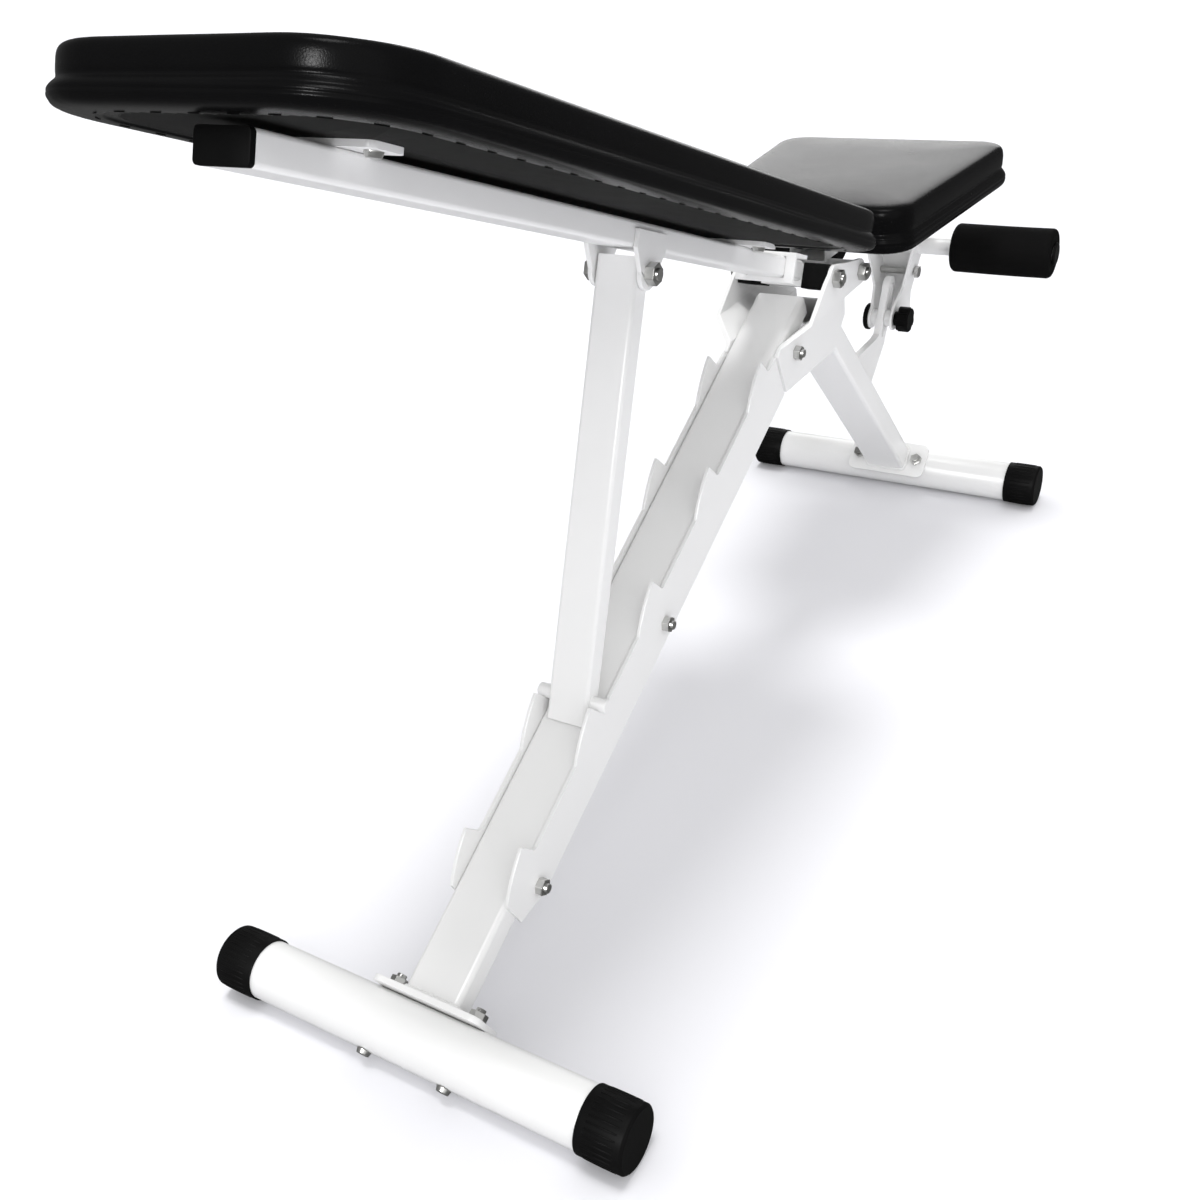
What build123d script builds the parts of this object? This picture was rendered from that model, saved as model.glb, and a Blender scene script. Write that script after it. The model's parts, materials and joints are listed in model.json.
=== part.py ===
"""Adjustable weight bench: a folding backrest on a ladder post, a tilting seat and foam leg rollers.

Millimetres. x runs along the bench towards the rollers, y to the left, z up from the floor.
Inside this file x is counted from the rear foot and shifted once, so that the finished bench
stands with the centre of its bounding box over the origin.
"""
import math
import os

from build123d import *

os.makedirs("parts", exist_ok=True)

# Fits
WELD = 0.0
FIT = 0.1
RUN = 0.05
SIDE_PLAY = 0.5
PLUG_PLAY = 0.6

# Feet
WHEELBASE = 1080.0
FOOT_LENGTH = 380.0
FOOT_DIA = 48.0
WALL = 2.0
TUBE_BEND = 4.5
SMALL_BEND = 3.5
CAP_WALL = 1.4
CAP_END = 3.0
CAP_LENGTH = 38.0
SOLE_CUT = 0.3
SADDLE_T = 5.0
SADDLE_WIDTH = 100.0
SADDLE_HEIGHT = 45.0
FOOT_BOLT_Y = 38.0

# Post, ladder and leg
FRAME_WIDTH = 50.0
POST_DEPTH = 25.0
POST_HEAD = (10.7, 26.8)
LADDER_T = 3.0
LADDER_START = 114.0
LADDER_HEAD_GAP = 86.0
HOOK_START = 42.0
HOOK_LAST = 26.8
HOOK_COUNT = 5
HOOK_RISE = 22.0
HOOK_RAMP = 44.0
NOTCH_LIFT = 3.0
ROD_AHEAD = 12.0
NOTCH_IN_USE = 1
LEG_ANGLE = 45.0
LEG_DEPTH = 30.0
LEG_TOP = 457.0

# Hinges and head plates
HINGE_SETBACK = 364.0
HINGE_GAP = 72.0
BACK_HINGE = (WHEELBASE - HINGE_SETBACK, 399.0)
SEAT_HINGE = (BACK_HINGE[0] + HINGE_GAP, 384.0)
HEAD_T = 4.0
EAR_Y = 47.0
FLARE_LOW = 354.0
FLARE_HIGH = 372.0
EAR_R = 13.0
HINGE_DIA = 10.0

# Backrest, s along the tube from the hinge and h square to it
CROSS = 22.0
CROSS_CAP_T = 1.4
CROSS_CAP_LENGTH = 25.0
BACK_WIDTH = 40.0
BACK_DEPTH = 20.0
BACK_TOP = 14.0
BACK_END = 774.0
PAD_OVERHANG = 32.0
COLLAR_T = 4.0
COLLAR_WIDTH = 60.0
COLLAR_FROM = 28.0
COLLAR_FLANGE_S = 54.0
PAD_BRACKET_T = 4.0
PAD_BRACKET_WIDTH = 30.0
PAD_BRACKET_SPAN = 90.0
PAD_BRACKET_IN = (32.0, 106.0)
PAD_START = 128.0
PAD_END = BACK_END + PAD_OVERHANG
PAD_BRACKET_S = (PAD_START + PAD_BRACKET_IN[0], PAD_END - PAD_BRACKET_IN[1])
PAD_HALF = (143.0, 123.0)
PAD_HEIGHT = 37.0
PAD_CORNER = (45.0, 60.0)
BOARD_T = 12.0
BOARD_INSET = 10.0
SCREW_Y = 34.0

# Prop
PIVOT_S = 345.0
PIVOT_H = -24.0
EAR_T = 4.0
PROP_LENGTH = 351.8
PROP_WIDTH = 38.0
PROP_DEPTH = 20.0
PROP_NOSE = 12.0
ROD_DIA = 12.0
ROD_HALF = 33.0
BUSH_DIA = 14.0

# Seat
SEAT_LENGTH = 303.0
SEAT_BEHIND = 54.0
SEAT_REAR = SEAT_HINGE[0] - SEAT_BEHIND
SEAT_FRONT = SEAT_REAR + SEAT_LENGTH
SEAT_HALF = (114.0, 140.0)
SEAT_CORNER = (30.0, 30.0)
SEAT_HEIGHT = 45.0
SEAT_TUBE_REAR = SEAT_HINGE[0] - 16.0
SEAT_TUBE_FRONT = SEAT_FRONT + 35.0
BARREL_DIA = 22.0
SEAT_BRACKET_T = 3.0
SEAT_BRACKET_X = (SEAT_HINGE[0] + 12.0, SEAT_FRONT - 51.0)

# Roller bracket, rollers and seat lock
SHEET = 3.0
BRACKET_REAR = SEAT_TUBE_FRONT - 39.0
BRACKET_FOOT_Z = 238.0
BRACKET_WAIST_HALF = 15.0
BRACKET_TOP_HALF = 43.0
BAR_DIA = 20.0
BAR_Z = 331.0
ROLLER_DIA = 57.0
ROLLER_IN = 70.0
ROLLER_OUT = 184.0
PLUG_FLANGE = 3.0
LOCK_AHEAD = 230.0
LOCK = (SEAT_HINGE[0] + LOCK_AHEAD, 252.0)
LOCK_DIA = 10.0
TILT_UP = 8.0
TILT_DOWN = 4.0
ARM_T = 8.0
ARM_BAND = 26.0
ARM_FOOT = 92.0
LUG_R = 14.0
BRACKET_WAIST_Z = LOCK[1] + LUG_R + 1.0
KNOB_DIA = 30.0

# Fasteners
M10_FLATS = 16.0
M10_HEAD = 6.4
M10_NUT = 8.0
M8_FLATS = 13.0
M8_HEAD = 5.3
M8_NUT = 6.5
PLUG_DEPTH = 15.0
SCREW_DIA = 6.0
TEE_DIA = 8.0
TEE_FLANGE = 18.0
TEE_FLANGE_T = 1.5

# Derived frame lines
FOOT_R = FOOT_DIA / 2
CAP_R = FOOT_R + FIT + CAP_WALL
FOOT_Z = CAP_R - SOLE_CUT
SADDLE_FROM = FOOT_R + RUN
TUBE_FROM = SADDLE_FROM + SADDLE_T + WELD
FRAME_HALF = FRAME_WIDTH / 2
THROUGH = FOOT_LENGTH
POST_RUN = BACK_HINGE[0] - POST_HEAD[0]
POST_RISE = BACK_HINGE[1] - POST_HEAD[1] - FOOT_Z
POST_TOP = math.hypot(POST_RUN, POST_RISE)
LADDER_END = POST_TOP - LADDER_HEAD_GAP
LADDER_BOLT_S = (LADDER_START + 33.0, (LADDER_START + LADDER_END) / 2, POST_TOP - 48.0)
HOOK_FIRST = LADDER_START + HOOK_START
HOOK_PITCH = (LADDER_END - HOOK_LAST - HOOK_FIRST) / (HOOK_COUNT - 1)
POST_TOP_N = POST_DEPTH / 2
NOTCH_N = POST_TOP_N + NOTCH_LIFT
TIP_N = NOTCH_N + HOOK_RISE
LADDER_BOLT_N = -POST_TOP_N - 4.0 - RUN
LADDER_LOW_N = -POST_TOP_N - 24.0
POST_T = (POST_RUN / POST_TOP, POST_RISE / POST_TOP)
LEG_T = (math.cos(math.radians(LEG_ANGLE)), math.sin(math.radians(LEG_ANGLE)))


def post_point(s, n):
    """Side-view (x, z) of a point on the post, s along it and n above its centreline."""
    return (POST_T[0] * s - POST_T[1] * n, FOOT_Z + POST_T[1] * s + POST_T[0] * n)


def leg_point(d, f):
    """Side-view (x, z) of a point on the front leg, d up from the foot and f in front."""
    return (WHEELBASE - LEG_T[0] * d + LEG_T[1] * f, FOOT_Z + LEG_T[1] * d + LEG_T[0] * f)


# The backrest angle follows from the prop standing in its notch
ROD = post_point(HOOK_FIRST + NOTCH_IN_USE * HOOK_PITCH + ROD_AHEAD, NOTCH_N + ROD_DIA / 2 + RUN)
ROD_DX = BACK_HINGE[0] - ROD[0]
ROD_DZ = BACK_HINGE[1] - ROD[1]
ROD_REACH = math.hypot(ROD_DX, ROD_DZ)
PIVOT_REACH = math.hypot(PIVOT_S, PIVOT_H)
PROP_COS = (ROD_REACH**2 + PIVOT_REACH**2 - PROP_LENGTH**2) / (2 * ROD_REACH * PIVOT_REACH)
BACK_ANGLE = math.acos(PROP_COS) - math.atan2(ROD_DZ, ROD_DX) - math.atan2(PIVOT_H, PIVOT_S)
BACK_U = (-math.cos(BACK_ANGLE), math.sin(BACK_ANGLE))
BACK_M = (math.sin(BACK_ANGLE), math.cos(BACK_ANGLE))


def back_point(s, h):
    """Side-view (x, z) of a point on the backrest."""
    return (
        BACK_HINGE[0] + s * BACK_U[0] + h * BACK_M[0],
        BACK_HINGE[1] + s * BACK_U[1] + h * BACK_M[1],
    )


PIVOT = back_point(PIVOT_S, PIVOT_H)
PROP_DIR = ((ROD[0] - PIVOT[0]) / PROP_LENGTH, (ROD[1] - PIVOT[1]) / PROP_LENGTH)

# Cushion sides as (share of the height, inset): rolled hem, waist, upper band and crown
WIDEST = 0.17
PAD_LEVELS = (
    (0.0, 6.0),
    (0.03, 3.0),
    (0.07, 1.2),
    (0.12, 0.2),
    (WIDEST, 0.0),
    (0.23, 0.8),
    (0.28, 2.4),
    (0.33, 4.0),
    (0.4, 3.4),
    (0.55, 2.7),
    (0.7, 2.8),
    (0.8, 3.6),
    (0.86, 5.4),
    (0.905, 8.6),
    (0.94, 14.0),
    (0.968, 24.0),
    (0.988, 42.0),
    (1.0, 80.0),
)
PAD_H = BACK_TOP + PAD_BRACKET_T
PAD_WIDEST_H = PAD_H + WIDEST * PAD_HEIGHT
X_SHIFT = (back_point(PAD_END, PAD_WIDEST_H)[0] + WHEELBASE + CAP_R) / 2

# Working planes in the side view
SIDE = Plane(origin=(-X_SHIFT, 0, 0), x_dir=(1, 0, 0), z_dir=(0, -1, 0))
POST = Plane(origin=(-X_SHIFT, 0, FOOT_Z), x_dir=(POST_T[0], 0, POST_T[1]), z_dir=(0, -1, 0))
LEG = Plane(
    origin=(WHEELBASE - X_SHIFT, 0, FOOT_Z), x_dir=(-LEG_T[0], 0, LEG_T[1]), z_dir=(0, 1, 0)
)
BACK = Plane(
    origin=(BACK_HINGE[0] - X_SHIFT, 0, BACK_HINGE[1]),
    x_dir=(BACK_U[0], 0, BACK_U[1]),
    z_dir=(0, 1, 0),
)
PROP = Plane(
    origin=(PIVOT[0] - X_SHIFT, 0, PIVOT[1]), x_dir=(PROP_DIR[0], 0, PROP_DIR[1]), z_dir=(0, 1, 0)
)


def span(plane, y_from, y_to):
    """A side-view plane moved to y_from, with the signed depth that reaches y_to."""
    way = round(plane.z_dir.Y)
    return plane.offset(way * y_from), way * (y_to - y_from)


def disc(plane, spot, y_from, y_to, dia, mode=Mode.ADD):
    """Round bar along y."""
    start, depth = span(plane, y_from, y_to)
    with BuildSketch(start) as face:
        with Locations(spot):
            Circle(dia / 2)
    extrude(face.sketch, amount=depth, mode=mode)


def hexagon(plane, spot, y_from, y_to, flats):
    """Hexagonal bar along y."""
    start, depth = span(plane, y_from, y_to)
    with BuildSketch(start) as face:
        with Locations(spot):
            RegularPolygon(radius=flats / math.sqrt(3), side_count=6)
    extrude(face.sketch, amount=depth)


def slab(plane, points, y_from, y_to, mode=Mode.ADD):
    """Flat plate with a side-view outline."""
    start, depth = span(plane, y_from, y_to)
    with BuildSketch(start) as face:
        with BuildLine():
            Polyline(*points, close=True)
        make_face()
    extrude(face.sketch, amount=depth, mode=mode)


def block(plane, a, b, y_from, y_to, mode=Mode.ADD):
    """Box between two side-view corners."""
    slab(plane, ((a[0], a[1]), (b[0], a[1]), (b[0], b[1]), (a[0], b[1])), y_from, y_to, mode)


def along(plane, distance=0.0):
    """Plane across a tube, facing along it, with y as its own second axis."""
    reach = plane.origin + plane.x_dir * distance
    return Plane(origin=reach, x_dir=Vector(0, 1, 0).cross(plane.x_dir), z_dir=plane.x_dir)


def box_tube(plane, a, b, half, bend, wall=WALL):
    """Rectangular tube along the plane's x, between two side-view corners, with bent corners."""
    depth = b[1] - a[1]
    way = round(plane.z_dir.Y)
    with BuildSketch(along(plane, a[0])) as face:
        with Locations((way * (a[1] + b[1]) / 2, 0)):
            RectangleRounded(depth, 2 * half, bend)
            RectangleRounded(depth - 2 * wall, 2 * (half - wall), bend - wall, mode=Mode.SUBTRACT)
    extrude(face.sketch, amount=b[0] - a[0])


def y_bolt(plane, spot, dia, flats, head, left, right):
    """Hexagon-head bolt along y with its head on the left."""
    hexagon(plane, spot, left, left + head, flats)
    disc(plane, spot, left, right, dia)


def y_nut(plane, spot, dia, flats, height, face):
    """Nut on the right, bearing on the given face."""
    hexagon(plane, spot, face, face - height, flats)
    disc(plane, spot, face + 1, face - height - 1, dia + 2 * RUN, Mode.SUBTRACT)


def save(piece, name):
    """Name a finished piece and write its file."""
    piece.label = name
    export_step(piece, f"parts/{name}.step")


# Feet, saddle plates and their bolts
def foot_tube(plane, bolt_dir):
    """Round cross tube with two clearance holes for the saddle bolts."""
    disc(plane, (0, 0), -FOOT_LENGTH / 2 + CAP_END + FIT, FOOT_LENGTH / 2 - CAP_END - FIT, FOOT_DIA)
    disc(plane, (0, 0), -FOOT_LENGTH, FOOT_LENGTH, FOOT_DIA - 2 * WALL, Mode.SUBTRACT)
    with BuildSketch(bolt_dir) as face:
        with Locations((0, FOOT_BOLT_Y), (0, -FOOT_BOLT_Y)):
            Circle(4.0 + FIT)
    extrude(face.sketch, amount=FOOT_DIA, both=True, mode=Mode.SUBTRACT)


def saddle_plate(plane):
    """Flat plate welded to the tube end, with two bolt holes."""
    with BuildSketch(along(plane, SADDLE_FROM)) as face:
        RectangleRounded(SADDLE_HEIGHT, SADDLE_WIDTH, 8.0)
        with Locations((0, FOOT_BOLT_Y), (0, -FOOT_BOLT_Y)):
            Circle(4.0 + FIT, mode=Mode.SUBTRACT)
    extrude(face.sketch, amount=SADDLE_T)


def saddle_bolts(plane):
    """Two mushroom-head bolts through the foot and its plate."""
    spots = ((0, FOOT_BOLT_Y), (0, -FOOT_BOLT_Y))
    with BuildSketch(along(plane, -FOOT_R - RUN)) as face:
        with Locations(*spots):
            Circle(4.0)
    extrude(face.sketch, amount=FOOT_DIA + 2 * RUN + SADDLE_T + M8_NUT + 3.0)
    with BuildSketch(along(plane, -FOOT_R - RUN)) as face:
        with Locations(*spots):
            Circle(6.2)
    extrude(face.sketch, amount=-3.8, taper=18)


def saddle_nuts(plane):
    """Two nuts on the upper face of the saddle plate."""
    with BuildSketch(along(plane, SADDLE_FROM + SADDLE_T)) as face:
        with Locations((0, FOOT_BOLT_Y), (0, -FOOT_BOLT_Y)):
            RegularPolygon(radius=M8_FLATS / math.sqrt(3), side_count=6)
            Circle(4.0 + RUN, mode=Mode.SUBTRACT)
    extrude(face.sketch, amount=M8_NUT)


for end, plane in (("rear", POST), ("front", LEG)):
    with BuildPart() as foot:
        foot_tube(plane, along(plane))
    save(foot.part, f"{end}_foot_tube")
    for hand, way in (("left", 1), ("right", -1)):
        tip = way * FOOT_LENGTH / 2
        with BuildPart() as cap:
            disc(plane, (0, 0), tip - way * CAP_LENGTH, tip, 2 * CAP_R)
            chamfer(cap.faces().sort_by(Axis.Y)[-1 if way > 0 else 0].edges(), 2.0)
            disc(
                plane, (0, 0), tip - way * (CAP_LENGTH + 1), tip - way * CAP_END,
                FOOT_DIA + 2 * FIT, Mode.SUBTRACT,
            )
            with BuildSketch(Plane.XY):
                Rectangle(4 * WHEELBASE, 2 * FOOT_LENGTH)
            extrude(amount=-CAP_R, mode=Mode.SUBTRACT)
        save(cap.part, f"{end}_foot_cap_{hand}")
    with BuildPart() as saddle:
        saddle_plate(plane)
    save(saddle.part, f"{end}_saddle_plate")

with BuildPart() as foot_bolts:
    for plane in (POST, LEG):
        saddle_bolts(plane)
save(foot_bolts.part, "foot_bolts")

# Main post and front leg
with BuildPart() as main_post:
    box_tube(POST, (TUBE_FROM, -POST_TOP_N), (POST_TOP, POST_TOP_N), FRAME_HALF, TUBE_BEND)
save(main_post.part, "main_post")

with BuildPart() as front_leg:
    box_tube(LEG, (TUBE_FROM, -LEG_DEPTH / 2), (LEG_TOP, LEG_DEPTH / 2), FRAME_HALF, TUBE_BEND)
save(front_leg.part, "front_leg")


# Ladder plates with forward-facing hooks
def ladder_outline():
    """Closed outline of one ladder plate in post coordinates."""
    pocket = ROD_DIA / 2 + RUN
    rear_low = (LADDER_START, -POST_TOP_N - 4.0)
    low = (LADDER_START + 34.0, LADDER_LOW_N + 5.0)
    edge = Polyline((LADDER_START, NOTCH_N), rear_low, low, (LADDER_END, LADDER_LOW_N))
    end = (LADDER_END, NOTCH_N)
    Line(edge @ 1, end)
    here = end
    for index in reversed(range(HOOK_COUNT)):
        tip = HOOK_FIRST + index * HOOK_PITCH
        seat = (tip + ROD_AHEAD, NOTCH_N)
        if here[0] > seat[0]:
            Line(here, seat)
        foot = (seat[0] - pocket, NOTCH_N + pocket)
        mid = (seat[0] - pocket * math.cos(math.pi / 4), foot[1] - pocket * math.sin(math.pi / 4))
        ThreePointArc(seat, mid, foot)
        nose = (tip, TIP_N)
        Line(foot, nose)
        start = (tip - HOOK_RAMP, NOTCH_N)
        if index == 0:
            start = (LADDER_START, NOTCH_N)
        bow = ((tip + start[0]) / 2 - 1.0, (TIP_N + NOTCH_N) / 2 + 2.5)
        ThreePointArc(nose, bow, start)
        here = start


for hand, way in (("left", 1), ("right", -1)):
    with BuildPart() as ladder_plate:
        start, depth = span(POST, way * FRAME_HALF, way * (FRAME_HALF + LADDER_T))
        with BuildSketch(start):
            with BuildLine():
                ladder_outline()
            make_face()
            with Locations(*[(s, LADDER_BOLT_N) for s in LADDER_BOLT_S[:-1]]):
                Circle(4.0 + FIT, mode=Mode.SUBTRACT)
        extrude(amount=depth)
    save(ladder_plate.part, f"ladder_plate_{hand}")


def ladder_face(s):
    """Outer side of whichever plate the ladder bolt passes through."""
    return FRAME_HALF + (LADDER_T if s < LADDER_END else HEAD_T)


with BuildPart() as ladder_bolts:
    for s in LADDER_BOLT_S:
        face = ladder_face(s)
        y_bolt(POST, (s, LADDER_BOLT_N), 8.0, M8_FLATS, M8_HEAD, face, -face - M8_NUT - 3.0)
save(ladder_bolts.part, "ladder_bolts")

with BuildPart() as frame_nuts:
    for plane in (POST, LEG):
        saddle_nuts(plane)
    for s in LADDER_BOLT_S:
        y_nut(POST, (s, LADDER_BOLT_N), 8.0, M8_FLATS, M8_NUT, -ladder_face(s))
save(frame_nuts.part, "frame_nuts")

# Head plates, flared outwards to straddle both hinges
HEAD_REAR_S = LADDER_END + 3.0
HEAD_OUTLINE = (
    post_point(HEAD_REAR_S, LADDER_LOW_N),
    (SEAT_HINGE[0] - 13.0, 300.0),
    (SEAT_HINGE[0] + 18.0, 330.0),
    (SEAT_HINGE[0] + EAR_R, SEAT_HINGE[1]),
    (SEAT_HINGE[0], SEAT_HINGE[1] + EAR_R),
    (BACK_HINGE[0], BACK_HINGE[1] + EAR_R),
    (BACK_HINGE[0] - 22.0, BACK_HINGE[1] + 1.0),
    post_point(HEAD_REAR_S, POST_TOP_N),
)
FLARE_RUN = EAR_Y - FRAME_HALF
FLARE_BEND = math.atan2(FLARE_RUN, FLARE_HIGH - FLARE_LOW)
FLARE_STEP = HEAD_T * math.tan(FLARE_BEND / 2)

for hand, way in (("left", 1), ("right", -1)):
    with BuildPart() as head_plate:
        with BuildSketch(Plane.YZ.offset(BACK_HINGE[0] - X_SHIFT)):
            with BuildLine():
                Polyline(
                    (way * FRAME_HALF, FLARE_LOW - THROUGH),
                    (way * FRAME_HALF, FLARE_LOW),
                    (way * EAR_Y, FLARE_HIGH),
                    (way * EAR_Y, FLARE_HIGH + THROUGH),
                    (way * (EAR_Y + HEAD_T), FLARE_HIGH + THROUGH),
                    (way * (EAR_Y + HEAD_T), FLARE_HIGH - FLARE_STEP),
                    (way * (FRAME_HALF + HEAD_T), FLARE_LOW - FLARE_STEP),
                    (way * (FRAME_HALF + HEAD_T), FLARE_LOW - THROUGH),
                    close=True,
                )
            make_face()
        extrude(amount=THROUGH, both=True)
        with BuildSketch(SIDE):
            with BuildLine():
                Polyline(*HEAD_OUTLINE, close=True)
            make_face()
            with Locations(SEAT_HINGE, BACK_HINGE):
                Circle(EAR_R)
            with Locations(SEAT_HINGE, BACK_HINGE):
                Circle(HINGE_DIA / 2 + RUN, mode=Mode.SUBTRACT)
            with Locations(post_point(LADDER_BOLT_S[-1], LADDER_BOLT_N)):
                Circle(4.0 + FIT, mode=Mode.SUBTRACT)
        extrude(amount=THROUGH, both=True, mode=Mode.INTERSECT)
    save(head_plate.part, f"head_plate_{hand}")

# Hinge bolts and nuts
EAR_OUT = EAR_Y + HEAD_T
with BuildPart() as hinge_bolts:
    for spot in (BACK_HINGE, SEAT_HINGE):
        y_bolt(SIDE, spot, HINGE_DIA, M10_FLATS, M10_HEAD, EAR_OUT, -EAR_OUT - M10_NUT - 2.0)
save(hinge_bolts.part, "hinge_bolts")

with BuildPart() as hinge_nuts:
    for spot in (BACK_HINGE, SEAT_HINGE):
        y_nut(SIDE, spot, HINGE_DIA, M10_FLATS, M10_NUT, -EAR_OUT)
save(hinge_nuts.part, "hinge_nuts")

# Seat support arm: a gusset on the leg with a slot that follows the seat
LOCK_REACH = math.hypot(LOCK[0] - SEAT_HINGE[0], LOCK[1] - SEAT_HINGE[1])
LOCK_ANGLE = math.degrees(math.atan2(LOCK[1] - SEAT_HINGE[1], LOCK[0] - SEAT_HINGE[0]))
ARM_HALF = ARM_T / 2
ARM_TOP_Z = LOCK[1] - 16.0
LEG_FACE = LEG_DEPTH / 2 + WELD
ARM_TOP_D = (ARM_TOP_Z - FOOT_Z - LEG_T[0] * LEG_FACE) / LEG_T[1]

with BuildLine() as lock_arc:
    CenterArc(SEAT_HINGE, LOCK_REACH, LOCK_ANGLE - TILT_DOWN, TILT_UP + TILT_DOWN)

with BuildPart() as seat_support_arm:
    start, depth = span(SIDE, -ARM_HALF, ARM_HALF)
    with BuildSketch(start):
        SlotArc(arc=lock_arc.edges()[0], height=ARM_BAND)
        with BuildLine():
            Polyline(
                leg_point(ARM_TOP_D, LEG_FACE),
                leg_point(ARM_TOP_D - ARM_FOOT, LEG_FACE),
                (LOCK[0] - 3.0, LOCK[1] - 31.0),
                (LOCK[0] + 6.0, LOCK[1]),
                (LOCK[0] - 8.0, ARM_TOP_Z + 6.0),
                (LOCK[0] - 34.0, ARM_TOP_Z),
                close=True,
            )
        make_face()
        SlotArc(arc=lock_arc.edges()[0], height=LOCK_DIA + 2 * FIT, mode=Mode.SUBTRACT)
    extrude(amount=depth)
save(seat_support_arm.part, "seat_support_arm")

# Backrest frame
CROSS_HALF_Y = EAR_Y - SIDE_PLAY - CAP_END - FIT
BACK_HALF = BACK_WIDTH / 2
BACK_LOW = BACK_TOP - BACK_DEPTH
CROSS_OUT = CROSS / 2 + FIT + CROSS_CAP_T

with BuildPart() as hinge_cross_tube:
    block(BACK, (-CROSS / 2, -CROSS / 2), (CROSS / 2, CROSS / 2), -CROSS_HALF_Y, CROSS_HALF_Y)
    inner = CROSS / 2 - WALL
    block(BACK, (-inner, -inner), (inner, inner), -THROUGH, THROUGH, Mode.SUBTRACT)
save(hinge_cross_tube.part, "hinge_cross_tube")

for hand, way in (("left", 1), ("right", -1)):
    outer = way * (EAR_Y - SIDE_PLAY)
    mouth = outer - way * CROSS_CAP_LENGTH
    with BuildPart() as hinge_cap:
        block(BACK, (-CROSS_OUT, -CROSS_OUT), (CROSS_OUT, CROSS_OUT), mouth, outer)
        fillet(hinge_cap.edges().filter_by(Axis.Y), 2.0)
        hollow = CROSS / 2 + FIT
        block(
            BACK, (-hollow, -hollow), (hollow, hollow),
            mouth - way, outer - way * CAP_END, Mode.SUBTRACT,
        )
        disc(BACK, (0, 0), mouth, outer + way, HINGE_DIA + 2 * RUN, Mode.SUBTRACT)
    save(hinge_cap.part, f"hinge_tube_cap_{hand}")

with BuildPart() as back_tube:
    box_tube(BACK, (CROSS / 2 + WELD, BACK_LOW), (BACK_END, BACK_TOP), BACK_HALF, SMALL_BEND)
save(back_tube.part, "back_tube")

with BuildPart() as back_tube_plug:
    block(BACK, (BACK_END + FIT, BACK_LOW), (BACK_END + FIT + 4.0, BACK_TOP), -BACK_HALF, BACK_HALF)
    fillet(back_tube_plug.edges().filter_by(Axis(BACK.origin, BACK.x_dir)), 3.0)
    lip = WALL + PLUG_PLAY
    block(
        BACK, (BACK_END - PLUG_DEPTH, BACK_LOW + lip), (BACK_END + FIT, BACK_TOP - lip),
        -BACK_HALF + lip, BACK_HALF - lip,
    )
save(back_tube_plug.part, "back_tube_plug")

with BuildPart() as back_end_collar:
    block(
        BACK, (COLLAR_FROM, BACK_LOW - 5.0), (COLLAR_FLANGE_S + COLLAR_T, BACK_TOP + COLLAR_T),
        -COLLAR_WIDTH / 2, COLLAR_WIDTH / 2,
    )
    block(
        BACK, (COLLAR_FROM - 1, BACK_LOW - 6.0), (COLLAR_FLANGE_S, BACK_TOP),
        -COLLAR_WIDTH, COLLAR_WIDTH, Mode.SUBTRACT,
    )
    block(
        BACK, (COLLAR_FROM - 1, BACK_LOW), (COLLAR_FLANGE_S + COLLAR_T + 1, BACK_TOP),
        -BACK_HALF, BACK_HALF, Mode.SUBTRACT,
    )
save(back_end_collar.part, "back_end_collar")


# Pad brackets, boards, screws and cushions, drawn on planes that face out of the pad
def facing(plane, height):
    """Plane parallel to a pad, height above the tube's datum, x along the tube."""
    up = plane.y_dir
    return Plane(origin=plane.origin + up * height, x_dir=plane.x_dir, z_dir=up)


def corner(centre, radius, first, last):
    """Arc round a centre between two angles, run anticlockwise."""
    spots = [math.radians(angle) for angle in (first, (first + last) / 2, last)]
    return ThreePointArc(
        *[(centre[0] + radius * math.cos(a), centre[1] + radius * math.sin(a)) for a in spots]
    )


def outline(shape, inset):
    """Pad outline drawn in by an inset; shape is (start, end), half width and corner radius at each."""
    (start, end), (narrow, wide), radii = shape
    lean = math.atan2(wide - narrow, end - start)
    turn = math.degrees(lean)
    near, far = [max(radius - inset, 6.0) for radius in radii]
    low = start + inset + near
    high = end - inset - far
    low_y = narrow + (low - start) * math.tan(lean) - (inset + near) / math.cos(lean)
    high_y = narrow + (high - start) * math.tan(lean) - (inset + far) / math.cos(lean)
    with BuildLine() as edge:
        arcs = [
            corner((high, -high_y), far, -90 - turn, 0),
            corner((high, high_y), far, 0, 90 + turn),
            corner((low, low_y), near, 90 + turn, 180),
            corner((low, -low_y), near, 180, 270 - turn),
        ]
        for arc, after in zip(arcs, arcs[1:] + arcs[:1]):
            Line(arc @ 1, after @ 0)
    make_face(edge.edges())


def tee_spots(rows):
    """Screw positions on both sides of the tube."""
    return [(row, way * SCREW_Y) for row in rows for way in (1, -1)]


def pad_bracket(plane, base, row, thick):
    """Flat cross strip under a pad board."""
    with BuildSketch(facing(plane, base)) as face:
        with Locations((row, 0)):
            RectangleRounded(PAD_BRACKET_WIDTH, PAD_BRACKET_SPAN, 5.0)
        with Locations((row, SCREW_Y), (row, -SCREW_Y)):
            Circle(SCREW_DIA / 2 + FIT, mode=Mode.SUBTRACT)
    extrude(face.sketch, amount=thick)


def pad_board(plane, base, shape, rows):
    """Plywood board with counterbored holes for the tee nuts."""
    with BuildSketch(facing(plane, base)) as face:
        outline(shape, BOARD_INSET)
        with Locations(*tee_spots(rows)):
            Circle(TEE_DIA / 2 + FIT, mode=Mode.SUBTRACT)
    extrude(face.sketch, amount=BOARD_T)
    with BuildSketch(facing(plane, base + BOARD_T)) as face:
        with Locations(*tee_spots(rows)):
            Circle(TEE_FLANGE / 2 + FIT)
    extrude(face.sketch, amount=-TEE_FLANGE_T - FIT, mode=Mode.SUBTRACT)


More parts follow.
